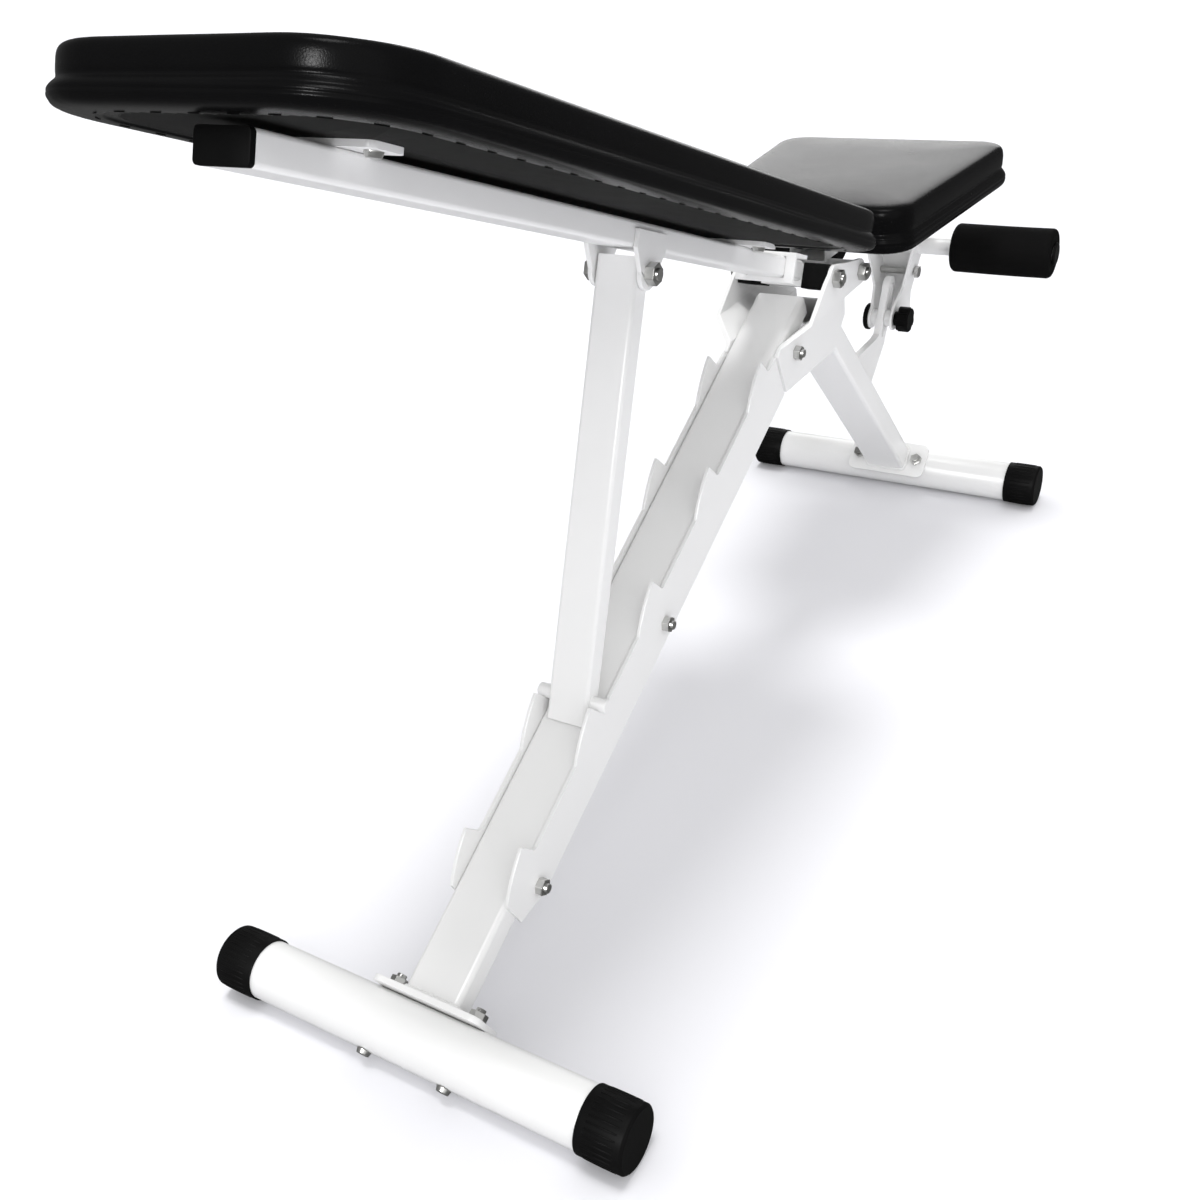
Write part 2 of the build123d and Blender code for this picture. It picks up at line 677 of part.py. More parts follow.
def tee_nuts(plane, base, rows):
    """Flanged nuts let into the board from above."""
    top = base + BOARD_T - FIT
    with BuildSketch(facing(plane, top)) as face:
        with Locations(*tee_spots(rows)):
            Circle(TEE_FLANGE / 2)
    extrude(face.sketch, amount=-TEE_FLANGE_T)
    with BuildSketch(facing(plane, top)) as face:
        with Locations(*tee_spots(rows)):
            Circle(TEE_DIA / 2)
    extrude(face.sketch, amount=-BOARD_T + 2.0)
    with BuildSketch(facing(plane, top)) as face:
        with Locations(*tee_spots(rows)):
            Circle(SCREW_DIA / 2 + RUN)
    extrude(face.sketch, amount=-BOARD_T, mode=Mode.SUBTRACT)


def pad_screws(plane, base, thick, rows):
    """Round-head screws up through a bracket into the tee nuts."""
    with BuildSketch(facing(plane, base)) as face:
        with Locations(*tee_spots(rows)):
            Circle(SCREW_DIA / 2)
    extrude(face.sketch, amount=thick + BOARD_T - 2.5)
    with BuildSketch(facing(plane, base)) as face:
        with Locations(*tee_spots(rows)):
            Circle(SCREW_DIA)
    extrude(face.sketch, amount=-3.6, taper=20)


def cushion(plane, base, shape, height):
    """Upholstered pad: hem, waist, upper band and crown, hollowed below for the board."""
    sections = []
    for share, inset in PAD_LEVELS:
        with BuildSketch(facing(plane, base + share * height)) as face:
            outline(shape, inset)
        sections.append(face.sketch)
    loft(sections, ruled=True)
    with BuildSketch(facing(plane, base)) as face:
        outline(shape, BOARD_INSET)
    extrude(face.sketch, amount=BOARD_T, mode=Mode.SUBTRACT)


BACK_SHAPE = ((PAD_START, PAD_END), PAD_HALF, PAD_CORNER)
for spot, row in zip(("front", "rear"), PAD_BRACKET_S):
    with BuildPart() as back_bracket:
        pad_bracket(BACK, BACK_TOP + WELD, row, PAD_BRACKET_T)
    save(back_bracket.part, f"back_pad_bracket_{spot}")

with BuildPart() as back_board:
    pad_board(BACK, PAD_H, BACK_SHAPE, PAD_BRACKET_S)
save(back_board.part, "back_pad_board")

with BuildPart() as back_cushion:
    cushion(BACK, PAD_H, BACK_SHAPE, PAD_HEIGHT)
save(back_cushion.part, "back_pad_cushion")

with BuildPart() as back_screws:
    pad_screws(BACK, BACK_TOP, PAD_BRACKET_T, PAD_BRACKET_S)
save(back_screws.part, "back_pad_screws")

with BuildPart() as back_tee_nuts:
    tee_nuts(BACK, PAD_H, PAD_BRACKET_S)
save(back_tee_nuts.part, "back_pad_tee_nuts")

# Prop and the ears that carry it
for hand, way in (("left", 1), ("right", -1)):
    with BuildPart() as prop_ear:
        start, depth = span(BACK, way * BACK_HALF, way * (BACK_HALF + EAR_T))
        with BuildSketch(start):
            with BuildLine():
                Polyline(
                    (PIVOT_S - 24.0, BACK_TOP - 6.0),
                    (PIVOT_S - 24.0, BACK_LOW),
                    (PIVOT_S - EAR_R, PIVOT_H),
                    (PIVOT_S + EAR_R, PIVOT_H),
                    (PIVOT_S + 24.0, BACK_LOW),
                    (PIVOT_S + 24.0, BACK_TOP - 6.0),
                    close=True,
                )
            make_face()
            with Locations((PIVOT_S, PIVOT_H)):
                Circle(EAR_R)
                Circle(HINGE_DIA / 2 + RUN, mode=Mode.SUBTRACT)
        extrude(amount=depth)
    save(prop_ear.part, f"prop_ear_{hand}")

PROP_EAR_OUT = BACK_HALF + EAR_T
with BuildPart() as prop_pivot_bolt:
    y_bolt(
        PROP, (0, 0), HINGE_DIA, M10_FLATS, M10_HEAD, PROP_EAR_OUT, -PROP_EAR_OUT - M10_NUT - 2.0
    )
save(prop_pivot_bolt.part, "prop_pivot_bolt")

with BuildPart() as prop_pivot_nut:
    y_nut(PROP, (0, 0), HINGE_DIA, M10_FLATS, M10_NUT, -PROP_EAR_OUT)
save(prop_pivot_nut.part, "prop_pivot_nut")

PROP_HALF = PROP_WIDTH / 2
MITRE_N = POST_TOP_N + NOTCH_LIFT / 3
with BuildPart() as prop_tube:
    prop_low = PROP_LENGTH + PROP_DEPTH
    box_tube(PROP, (-PROP_NOSE, -PROP_DEPTH / 2), (prop_low, PROP_DEPTH / 2), PROP_HALF, SMALL_BEND)
    disc(PROP, (0, 0), -THROUGH, THROUGH, BUSH_DIA, Mode.SUBTRACT)
    disc(PROP, (PROP_LENGTH, 0), -THROUGH, THROUGH, ROD_DIA, Mode.SUBTRACT)
    block(POST, (0, -THROUGH), (POST_TOP, MITRE_N), -THROUGH, THROUGH, Mode.SUBTRACT)
save(prop_tube.part, "prop_tube")

with BuildPart() as prop_pivot_bush:
    bush_half = BACK_HALF - 0.3
    disc(PROP, (0, 0), -bush_half, bush_half, BUSH_DIA)
    disc(PROP, (0, 0), -THROUGH, THROUGH, HINGE_DIA + 2 * RUN, Mode.SUBTRACT)
save(prop_pivot_bush.part, "prop_pivot_bush")

with BuildPart() as prop_catch_rod:
    disc(PROP, (PROP_LENGTH, 0), -ROD_HALF, ROD_HALF, ROD_DIA)
    chamfer(prop_catch_rod.edges().filter_by(GeomType.CIRCLE), 1.0)
save(prop_catch_rod.part, "prop_catch_rod")

# Seat frame and pad
SEAT_TUBE_Z = SEAT_HINGE[1] + BARREL_DIA / 2 + WELD
SEAT_TUBE_TOP = SEAT_TUBE_Z + BACK_DEPTH
SEAT_Z = SEAT_TUBE_TOP + SEAT_BRACKET_T
SEAT_SHAPE = ((SEAT_REAR, SEAT_FRONT), SEAT_HALF, SEAT_CORNER)

with BuildPart() as seat_hinge_barrel:
    barrel_half = EAR_Y - SIDE_PLAY
    disc(SIDE, SEAT_HINGE, -barrel_half, barrel_half, BARREL_DIA)
    disc(SIDE, SEAT_HINGE, -THROUGH, THROUGH, HINGE_DIA + 2 * RUN, Mode.SUBTRACT)
save(seat_hinge_barrel.part, "seat_hinge_barrel")

with BuildPart() as seat_tube:
    box_tube(SIDE, (SEAT_TUBE_REAR, SEAT_TUBE_Z), (SEAT_TUBE_FRONT, SEAT_TUBE_TOP), BACK_HALF, SMALL_BEND)
save(seat_tube.part, "seat_tube")

with BuildPart() as seat_tube_plug:
    plug_front = SEAT_TUBE_FRONT + FIT + 4.0
    block(
        SIDE, (SEAT_TUBE_FRONT + FIT, SEAT_TUBE_Z), (plug_front, SEAT_TUBE_TOP), -BACK_HALF, BACK_HALF
    )
    fillet(seat_tube_plug.edges().filter_by(Axis.X), 3.0)
    block(
        SIDE,
        (SEAT_TUBE_FRONT - PLUG_DEPTH, SEAT_TUBE_Z + lip),
        (SEAT_TUBE_FRONT + FIT, SEAT_TUBE_TOP - lip),
        -BACK_HALF + lip, BACK_HALF - lip,
    )
save(seat_tube_plug.part, "seat_tube_plug")

for spot, row in zip(("rear", "front"), SEAT_BRACKET_X):
    with BuildPart() as seat_bracket:
        pad_bracket(SIDE, SEAT_TUBE_TOP + WELD, row, SEAT_BRACKET_T)
    save(seat_bracket.part, f"seat_pad_bracket_{spot}")

with BuildPart() as seat_board:
    pad_board(SIDE, SEAT_Z, SEAT_SHAPE, SEAT_BRACKET_X)
save(seat_board.part, "seat_board")

with BuildPart() as seat_cushion:
    cushion(SIDE, SEAT_Z, SEAT_SHAPE, SEAT_HEIGHT)
save(seat_cushion.part, "seat_cushion")

with BuildPart() as seat_screws:
    pad_screws(SIDE, SEAT_TUBE_TOP, SEAT_BRACKET_T, SEAT_BRACKET_X)
save(seat_screws.part, "seat_screws")

with BuildPart() as seat_tee_nuts:
    tee_nuts(SIDE, SEAT_Z, SEAT_BRACKET_X)
save(seat_tee_nuts.part, "seat_tee_nuts")

# Roller bracket: a tapered channel, open to the rear, hung under the seat tube
WEB_BACK = SEAT_TUBE_FRONT
WEB_FRONT = WEB_BACK + SHEET
BAR = (WEB_BACK - BAR_DIA / 2 - 1.0, BAR_Z)
CROSS_BOLT = (BAR[0], BAR_Z - 33.0)


def channel_section(inset, low, high):
    """Front view of the channel: narrow at the foot, widening from the waist to the top."""
    waist = BRACKET_WAIST_HALF - inset
    top = BRACKET_TOP_HALF - inset
    return (
        (-waist, low), (waist, low), (waist, BRACKET_WAIST_Z),
        (top, high), (-top, high), (-waist, BRACKET_WAIST_Z),
    )


def channel_half(z):
    """Outer half width of the channel at a height above the waist."""
    rise = (z - BRACKET_WAIST_Z) / (SEAT_TUBE_Z - BRACKET_WAIST_Z)
    return BRACKET_WAIST_HALF + rise * (BRACKET_TOP_HALF - BRACKET_WAIST_HALF)


with BuildPart() as roller_bracket:
    with BuildSketch(Plane.YZ.offset(WEB_FRONT - X_SHIFT)):
        with BuildLine():
            Polyline(*channel_section(0.0, BRACKET_FOOT_Z, SEAT_TUBE_Z), close=True)
        make_face()
    extrude(amount=-120.0)
    with BuildSketch(Plane.YZ.offset(WEB_BACK - X_SHIFT)):
        with BuildLine():
            Polyline(*channel_section(SHEET, BRACKET_FOOT_Z - 1, SEAT_TUBE_Z), close=True)
        make_face()
    extrude(amount=-120.0, mode=Mode.SUBTRACT)
    with BuildSketch(SIDE):
        with BuildLine():
            Polyline(
                (LOCK[0], BRACKET_FOOT_Z), (WEB_FRONT, BRACKET_FOOT_Z), (WEB_FRONT, SEAT_TUBE_Z),
                (BRACKET_REAR, SEAT_TUBE_Z), (BRACKET_REAR, LOCK[1] + 34.0), (LOCK[0] - 8.0, LOCK[1] + 11.0),
                close=True,
            )
        make_face()
        with Locations(LOCK):
            Circle(LUG_R)
        with Locations(LOCK):
            Circle(LOCK_DIA / 2 + RUN, mode=Mode.SUBTRACT)
        with Locations(BAR):
            Circle(BAR_DIA / 2, mode=Mode.SUBTRACT)
        with Locations(CROSS_BOLT):
            Circle(4.0 + FIT, mode=Mode.SUBTRACT)
    extrude(amount=THROUGH, both=True, mode=Mode.INTERSECT)
save(roller_bracket.part, "roller_bracket")

CROSS_BOLT_FACE = channel_half(CROSS_BOLT[1] + M8_FLATS / math.sqrt(3)) + RUN
with BuildPart() as bracket_bolt:
    hexagon(SIDE, CROSS_BOLT, -CROSS_BOLT_FACE, -CROSS_BOLT_FACE - M8_HEAD, M8_FLATS)
    disc(SIDE, CROSS_BOLT, -CROSS_BOLT_FACE, CROSS_BOLT_FACE + M8_NUT + 2.0, 8.0)
save(bracket_bolt.part, "roller_bracket_bolt")

with BuildPart() as bracket_nut:
    hexagon(SIDE, CROSS_BOLT, CROSS_BOLT_FACE, CROSS_BOLT_FACE + M8_NUT, M8_FLATS)
    disc(SIDE, CROSS_BOLT, -THROUGH, THROUGH, 8.0 + 2 * RUN, Mode.SUBTRACT)
save(bracket_nut.part, "roller_bracket_nut")

with BuildPart() as roller_bar:
    disc(SIDE, BAR, -ROLLER_OUT - FIT, ROLLER_OUT + FIT, BAR_DIA)
    disc(SIDE, BAR, -THROUGH, THROUGH, BAR_DIA - 2 * WALL, Mode.SUBTRACT)
save(roller_bar.part, "roller_bar")

for hand, way in (("left", 1), ("right", -1)):
    with BuildPart() as roller:
        disc(SIDE, BAR, way * ROLLER_IN, way * ROLLER_OUT, ROLLER_DIA)
        fillet(roller.edges().filter_by(GeomType.CIRCLE), 4.0)
        disc(SIDE, BAR, -THROUGH, THROUGH, BAR_DIA + 2 * RUN, Mode.SUBTRACT)
    save(roller.part, f"foam_roller_{hand}")
    with BuildPart() as bar_plug:
        inner = way * (ROLLER_OUT + 2 * FIT)
        disc(SIDE, BAR, inner, inner + way * PLUG_FLANGE, BAR_DIA + 6.0)
        chamfer(bar_plug.faces().sort_by(Axis.Y)[-1 if way > 0 else 0].edges(), 1.2)
        disc(SIDE, BAR, inner - way * PLUG_DEPTH, inner, BAR_DIA - 2 * WALL - 2 * FIT)
    save(bar_plug.part, f"roller_bar_plug_{hand}")

# Seat lock: stud, knob, blind nut and two spacers that keep the arm central
LUG_OUT = BRACKET_WAIST_HALF
LUG_IN = BRACKET_WAIST_HALF - SHEET
KNOB_NECK = 5.0
KNOB_HEAD = 14.0
KNOB_FROM = -LUG_OUT - 0.3
NUT_DEPTH = 6.0
NUT_DIA = 32.0

with BuildPart() as lock_knob:
    neck_end = KNOB_FROM - KNOB_NECK
    disc(SIDE, LOCK, KNOB_FROM, neck_end, 17.0)
    start, depth = span(SIDE, neck_end, neck_end - KNOB_HEAD)
    with BuildSketch(start):
        with Locations(LOCK):
            Circle(KNOB_DIA / 2)
            with PolarLocations(KNOB_DIA / 2 + 2.6, 6):
                Circle(4.6, mode=Mode.SUBTRACT)
    extrude(amount=depth)
    chamfer(lock_knob.faces().sort_by(Axis.Y)[0].edges(), 1.5)
    disc(SIDE, LOCK, KNOB_FROM + 1.0, neck_end - 6.0, LOCK_DIA + 2 * RUN, Mode.SUBTRACT)
save(lock_knob.part, "seat_lock_knob")

with BuildPart() as lock_stud:
    disc(SIDE, LOCK, KNOB_FROM - KNOB_NECK - 6.0 + FIT, LUG_OUT + NUT_DEPTH - 3.0, LOCK_DIA)
save(lock_stud.part, "seat_lock_stud")

with BuildPart() as lock_nut:
    disc(SIDE, LOCK, LUG_OUT, LUG_OUT + NUT_DEPTH, NUT_DIA)
    chamfer(lock_nut.faces().sort_by(Axis.Y)[-1].edges(), 2.0)
    disc(SIDE, LOCK, 0.0, LUG_OUT + NUT_DEPTH - 2.5, LOCK_DIA + 2 * RUN, Mode.SUBTRACT)
save(lock_nut.part, "seat_lock_nut")

with BuildPart() as lock_spacers:
    for way in (1, -1):
        disc(SIDE, LOCK, way * (ARM_HALF + 0.3), way * LUG_IN, 20.0)
    disc(SIDE, LOCK, -THROUGH, THROUGH, LOCK_DIA + 2 * RUN, Mode.SUBTRACT)
save(lock_spacers.part, "seat_lock_spacers")
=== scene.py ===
# %% [markdown]
# # An adjustable weight bench
# The steel of this bench is already exact: the frame below loads every tube, plate and bolt as a CAD
# node, and each one stays where it is. Blender's job is everything that makes it look real. The two pads
# and the foam rollers are soft, so they are modelled again here, and every steel and plastic node
# gets a finish built from nodes. Lengths are metres in the frame of the CAD model.

# %% Load the frame
import json
import math

import bmesh
import bpy
import numpy as np
from mathutils import Matrix, Vector


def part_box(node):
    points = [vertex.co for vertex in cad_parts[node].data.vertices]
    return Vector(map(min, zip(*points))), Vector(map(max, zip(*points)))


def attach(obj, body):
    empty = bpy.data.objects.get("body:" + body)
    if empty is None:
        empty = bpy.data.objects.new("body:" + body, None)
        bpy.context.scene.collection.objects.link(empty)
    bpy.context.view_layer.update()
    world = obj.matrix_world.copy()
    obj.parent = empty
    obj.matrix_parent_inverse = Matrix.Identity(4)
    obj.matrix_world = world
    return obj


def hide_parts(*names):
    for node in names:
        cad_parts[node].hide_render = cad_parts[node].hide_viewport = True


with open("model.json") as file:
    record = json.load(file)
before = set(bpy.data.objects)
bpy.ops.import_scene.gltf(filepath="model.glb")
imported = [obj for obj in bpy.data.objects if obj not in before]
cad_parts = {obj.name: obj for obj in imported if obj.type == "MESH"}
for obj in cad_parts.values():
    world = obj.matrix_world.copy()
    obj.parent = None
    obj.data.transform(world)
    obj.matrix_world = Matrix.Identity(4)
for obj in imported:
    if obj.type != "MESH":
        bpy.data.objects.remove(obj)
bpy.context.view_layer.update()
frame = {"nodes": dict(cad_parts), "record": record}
nodes = frame["nodes"]
joints = {joint["name"]: joint for joint in frame["record"]["behaviour"]["joints"]}
MM = 0.001

# %% [markdown]
# ## The camera
# The photograph was taken from behind the head end, a little above the pads and close up, with the
# camera rolled a few degrees. Those numbers come from matching the feet, the post and the pads, so
# the camera is placed directly: its own axes are worked out from yaw, pitch and roll.

# %% Camera
PHOTO_SIDE = 1200
SENSOR_WIDTH = 36
CAMERA_PLACE = Vector((-1.02570, -0.50244, 0.80886))
CAMERA_YAW, CAMERA_PITCH, CAMERA_ROLL = 0.615, 0.5268, 0.1121
FOCAL_PX = 1294.54
CENTRE_PX = (539.40, 586.55)

ahead = Vector((
    math.cos(CAMERA_YAW) * math.cos(CAMERA_PITCH),
    math.sin(CAMERA_YAW) * math.cos(CAMERA_PITCH),
    -math.sin(CAMERA_PITCH),
))
level = Vector((math.sin(CAMERA_YAW), -math.cos(CAMERA_YAW), 0))
below = ahead.cross(level)
right = math.cos(CAMERA_ROLL) * level + math.sin(CAMERA_ROLL) * below
down = -math.sin(CAMERA_ROLL) * level + math.cos(CAMERA_ROLL) * below

lens = bpy.data.cameras.new("photo_camera")
lens.sensor_width = SENSOR_WIDTH
lens.lens = SENSOR_WIDTH * FOCAL_PX / PHOTO_SIDE
lens.shift_x = (PHOTO_SIDE / 2 - CENTRE_PX[0]) / PHOTO_SIDE
lens.shift_y = (CENTRE_PX[1] - PHOTO_SIDE / 2) / PHOTO_SIDE
lens.clip_start = 10 * MM
camera = bpy.data.objects.new("photo_camera", lens)
bpy.context.collection.objects.link(camera)
turn = Matrix((right, -down, -ahead)).transposed()
camera.matrix_world = Matrix.Translation(CAMERA_PLACE) @ turn.to_4x4()
bpy.context.scene.camera = camera
print("camera at", [round(v, 3) for v in CAMERA_PLACE], "lens", round(lens.lens, 1), "mm")

# %% [markdown]
# ## Floor and light
# A catalogue picture is lit by big white surfaces. Here the world is a white dome that the camera
# sees as plain paper. Glossy surfaces see a darker dome than matte ones do, so that black plastic
# stays black while the white steel is still lit from all round.

# %% White dome
WHITE = (1, 1, 1, 1)
DOME_LIGHT, DOME_MIRRORED = 0.80, 0.22


def node_of(tree, kind, at=(0, 0), **values):
    """Add a shader node, set its inputs by name and return it."""
    made = tree.nodes.new(kind)
    made.location = at
    for name, value in values.items():
        made.inputs[name.replace("_", " ")].default_value = value
    return made


world = bpy.data.worlds.new("white_dome")
bpy.context.scene.world = world
world.use_nodes = True
tree = world.node_tree
tree.nodes.clear()
path = node_of(tree, "ShaderNodeLightPath", (-200, 200))
dome = node_of(tree, "ShaderNodeBackground", (0, 0), Color=WHITE)
dimmer = node_of(tree, "ShaderNodeMapRange", (-200, 0), To_Min=DOME_LIGHT, To_Max=DOME_MIRRORED)
tree.links.new(path.outputs["Is Glossy Ray"], dimmer.inputs["Value"])
tree.links.new(dimmer.outputs[0], dome.inputs["Strength"])
paper = node_of(tree, "ShaderNodeBackground", (0, -150), Color=WHITE, Strength=1.0)
blend = node_of(tree, "ShaderNodeMixShader", (250, 0))
out = node_of(tree, "ShaderNodeOutputWorld", (450, 0))
tree.links.new(path.outputs["Is Camera Ray"], blend.inputs[0])
tree.links.new(dome.outputs[0], blend.inputs[1])
tree.links.new(paper.outputs[0], blend.inputs[2])
tree.links.new(blend.outputs[0], out.inputs[0])
print("dome", DOME_LIGHT, "and", DOME_MIRRORED, "in reflections")

# %% [markdown]
# ### Paper floor
# The floor is a wide sheet just under the feet. It adds a glow of its own to what the camera sees, so
# it reads as white paper that still takes the shadow, and it is darker in reflections, like the dome.

# %% Paper floor
FLOOR_HALF, FLOOR_DROP = 30.0, 0.5 * MM
FLOOR_GLOW = 0.05
FLOOR_SEEN = (0.78, 0.78, 0.81, 1)
FLOOR_MIRRORED = (0.16, 0.16, 0.16, 1)

floor_mesh = bpy.data.meshes.new("floor")
floor_mesh.from_pydata(
    [(-FLOOR_HALF, -FLOOR_HALF, 0), (FLOOR_HALF, -FLOOR_HALF, 0),
     (FLOOR_HALF, FLOOR_HALF, 0), (-FLOOR_HALF, FLOOR_HALF, 0)], [], [(0, 1, 2, 3)])
floor = bpy.data.objects.new("floor", floor_mesh)
floor.location.z = -FLOOR_DROP
bpy.context.collection.objects.link(floor)
paint = bpy.data.materials.new("white_paper_floor")
paint.use_nodes = True
tree = paint.node_tree
tree.nodes.clear()
path = node_of(tree, "ShaderNodeLightPath", (-400, -150))
matte = node_of(tree, "ShaderNodeBsdfDiffuse", (0, 0))
tone = node_of(tree, "ShaderNodeMix", (-200, 100))
tone.data_type = "RGBA"
tone.inputs["A"].default_value = FLOOR_SEEN
tone.inputs["B"].default_value = FLOOR_MIRRORED
glow = node_of(tree, "ShaderNodeEmission", (0, -150), Color=WHITE)
strength = node_of(tree, "ShaderNodeMath", (-150, -150))
strength.operation = "MULTIPLY"
strength.inputs[1].default_value = FLOOR_GLOW
both = node_of(tree, "ShaderNodeAddShader", (250, 0))
out = node_of(tree, "ShaderNodeOutputMaterial", (450, 0))
tree.links.new(path.outputs["Is Camera Ray"], strength.inputs[0])
tree.links.new(path.outputs["Is Glossy Ray"], tone.inputs["Factor"])
tree.links.new(tone.outputs["Result"], matte.inputs["Color"])
tree.links.new(strength.outputs[0], glow.inputs["Strength"])
tree.links.new(matte.outputs[0], both.inputs[0])
tree.links.new(glow.outputs[0], both.inputs[1])
tree.links.new(both.outputs[0], out.inputs[0])
floor_mesh.materials.append(paint)
print("floor", 2 * FLOOR_HALF, "m wide")

# %% [markdown]
# ### Lamps
# A soft sun straight overhead makes the shadow the same depth all along the bench, and a second, very
# wide one from beside the camera fills the white steel evenly from end to end. Two more lamps are
# left out of the diffuse light: they only put the sheen on the vinyl, one down the rounded corner
# nearest the camera and one across the seat.

# %% Lamps
def sheen_lamp(name, place, aim, size, power):
    """A rectangular lamp at a place, turned to its aim, that only glossy surfaces see."""
    light = bpy.data.lights.new(name, "AREA")
    light.shape = "RECTANGLE"
    light.size, light.size_y = size
    light.energy = power
    holder = bpy.data.objects.new(name, light)
    holder.location = place
    holder.rotation_euler = (Vector(aim) - Vector(place)).to_track_quat("-Z", "Y").to_euler()
    holder.visible_diffuse = False
    bpy.context.collection.objects.link(holder)


def sun(name, source, energy, spread):
    """A distant lamp that shines from the direction of its source, spread over some degrees."""
    light = bpy.data.lights.new(name, "SUN")
    light.energy = energy
    light.angle = math.radians(spread)
    holder = bpy.data.objects.new(name, light)
    holder.rotation_euler = (-Vector(source)).to_track_quat("-Z", "Y").to_euler()
    bpy.context.collection.objects.link(holder)


sun("overhead_sun", source=(0.0, 0.05, 1.0), energy=1.6, spread=18)
sun("fill_sun", source=(-0.66, -0.56, 0.50), energy=0.80, spread=70)
sheen_lamp(
    "corner_strip", place=(-2.64, -0.12, 1.77), aim=(-0.62, -0.1, 0.7), size=(0.22, 0.8), power=95)
sheen_lamp("seat_box", place=(2.66, 0.83, 1.02), aim=(0.36, 0.0, 0.47), size=(1.8, 1.1), power=18)
bpy.context.scene.view_settings.view_transform = "Standard"
print("lamps", [light.name for light in bpy.data.lights])

# %% [markdown]
# ## Finishes
# Powder coat, moulded plastic, zinc plate, plywood, vinyl and foam all vary a little over their
# surface. Two shader groups hold what they share: one gives a slow drift of tone with a fine grain
# for the bump, the other a mask of faint rubs. Each finish uses them with its own sizes.

# %% Shared shader groups
RUB_STRETCH = (0.5, 1.6, 1.0)
RUB_SOFTNESS = 0.08


def shader_group(name, sockets_in, sockets_out):
    """An empty shader group with named sockets; sockets_in holds (name, default) pairs."""
    group = bpy.data.node_groups.new(name, "ShaderNodeTree")
    for label, default in sockets_in:
        socket = group.interface.new_socket(label, in_out="INPUT", socket_type="NodeSocketFloat")
        socket.default_value = default
    for label in sockets_out:
        group.interface.new_socket(label, in_out="OUTPUT", socket_type="NodeSocketFloat")
    start = node_of(group, "NodeGroupInput", (-900, 0))
    end = node_of(group, "NodeGroupOutput", (700, 0))
    return group, start, end


drift, start, end = shader_group(
    "drift_and_grain", (("Drift Scale", 12.0), ("Grain Scale", 900.0)), ("Drift", "Grain"))
coords = node_of(drift, "ShaderNodeTexCoord", (-900, 300))
slow = node_of(drift, "ShaderNodeTexNoise", (-500, 200), Detail=4.0, Roughness=0.55)
fine = node_of(drift, "ShaderNodeTexNoise", (-500, -200), Detail=2.0, Roughness=0.5)
for texture, scale, result in ((slow, "Drift Scale", "Drift"), (fine, "Grain Scale", "Grain")):
    drift.links.new(coords.outputs["Object"], texture.inputs["Vector"])
    drift.links.new(start.outputs[scale], texture.inputs["Scale"])
    drift.links.new(texture.outputs["Fac"], end.inputs[result])

rubs, start, end = shader_group("faint_rubs", (("Scale", 30.0), ("Edge", 0.62)), ("Mask",))
coords = node_of(rubs, "ShaderNodeTexCoord", (-900, 300))
stretch = node_of(rubs, "ShaderNodeMapping", (-700, 300), Scale=RUB_STRETCH)
patch = node_of(rubs, "ShaderNodeTexNoise", (-450, 200), Detail=8.0, Roughness=0.7)
soft_edge = node_of(rubs, "ShaderNodeMath", (-200, 0))
soft_edge.operation = "ADD"
soft_edge.inputs[1].default_value = RUB_SOFTNESS
ramp = node_of(rubs, "ShaderNodeMapRange", (50, 100))
rubs.links.new(coords.outputs["Object"], stretch.inputs["Vector"])
rubs.links.new(stretch.outputs[0], patch.inputs["Vector"])
rubs.links.new(start.outputs["Scale"], patch.inputs["Scale"])
rubs.links.new(start.outputs["Edge"], soft_edge.inputs[0])
rubs.links.new(patch.outputs["Fac"], ramp.inputs["Value"])
rubs.links.new(start.outputs["Edge"], ramp.inputs["From Min"])
rubs.links.new(soft_edge.outputs[0], ramp.inputs["From Max"])
rubs.links.new(ramp.outputs[0], end.inputs["Mask"])
print("groups", drift.name, rubs.name)

# %% [markdown]
# ### One builder for all finishes
# Each finish is a dark and a light tone that the drift mixes, a range of roughness that follows the
# same drift, a fine bump, and rubs that dull it a little. Only those numbers differ, so one function
# builds them all, and the record says which node wears which finish.

# %% Finish builder
RUB_SCALE, RUB_EDGE, RUB_DULLING = 30.0, 0.66, 0.1


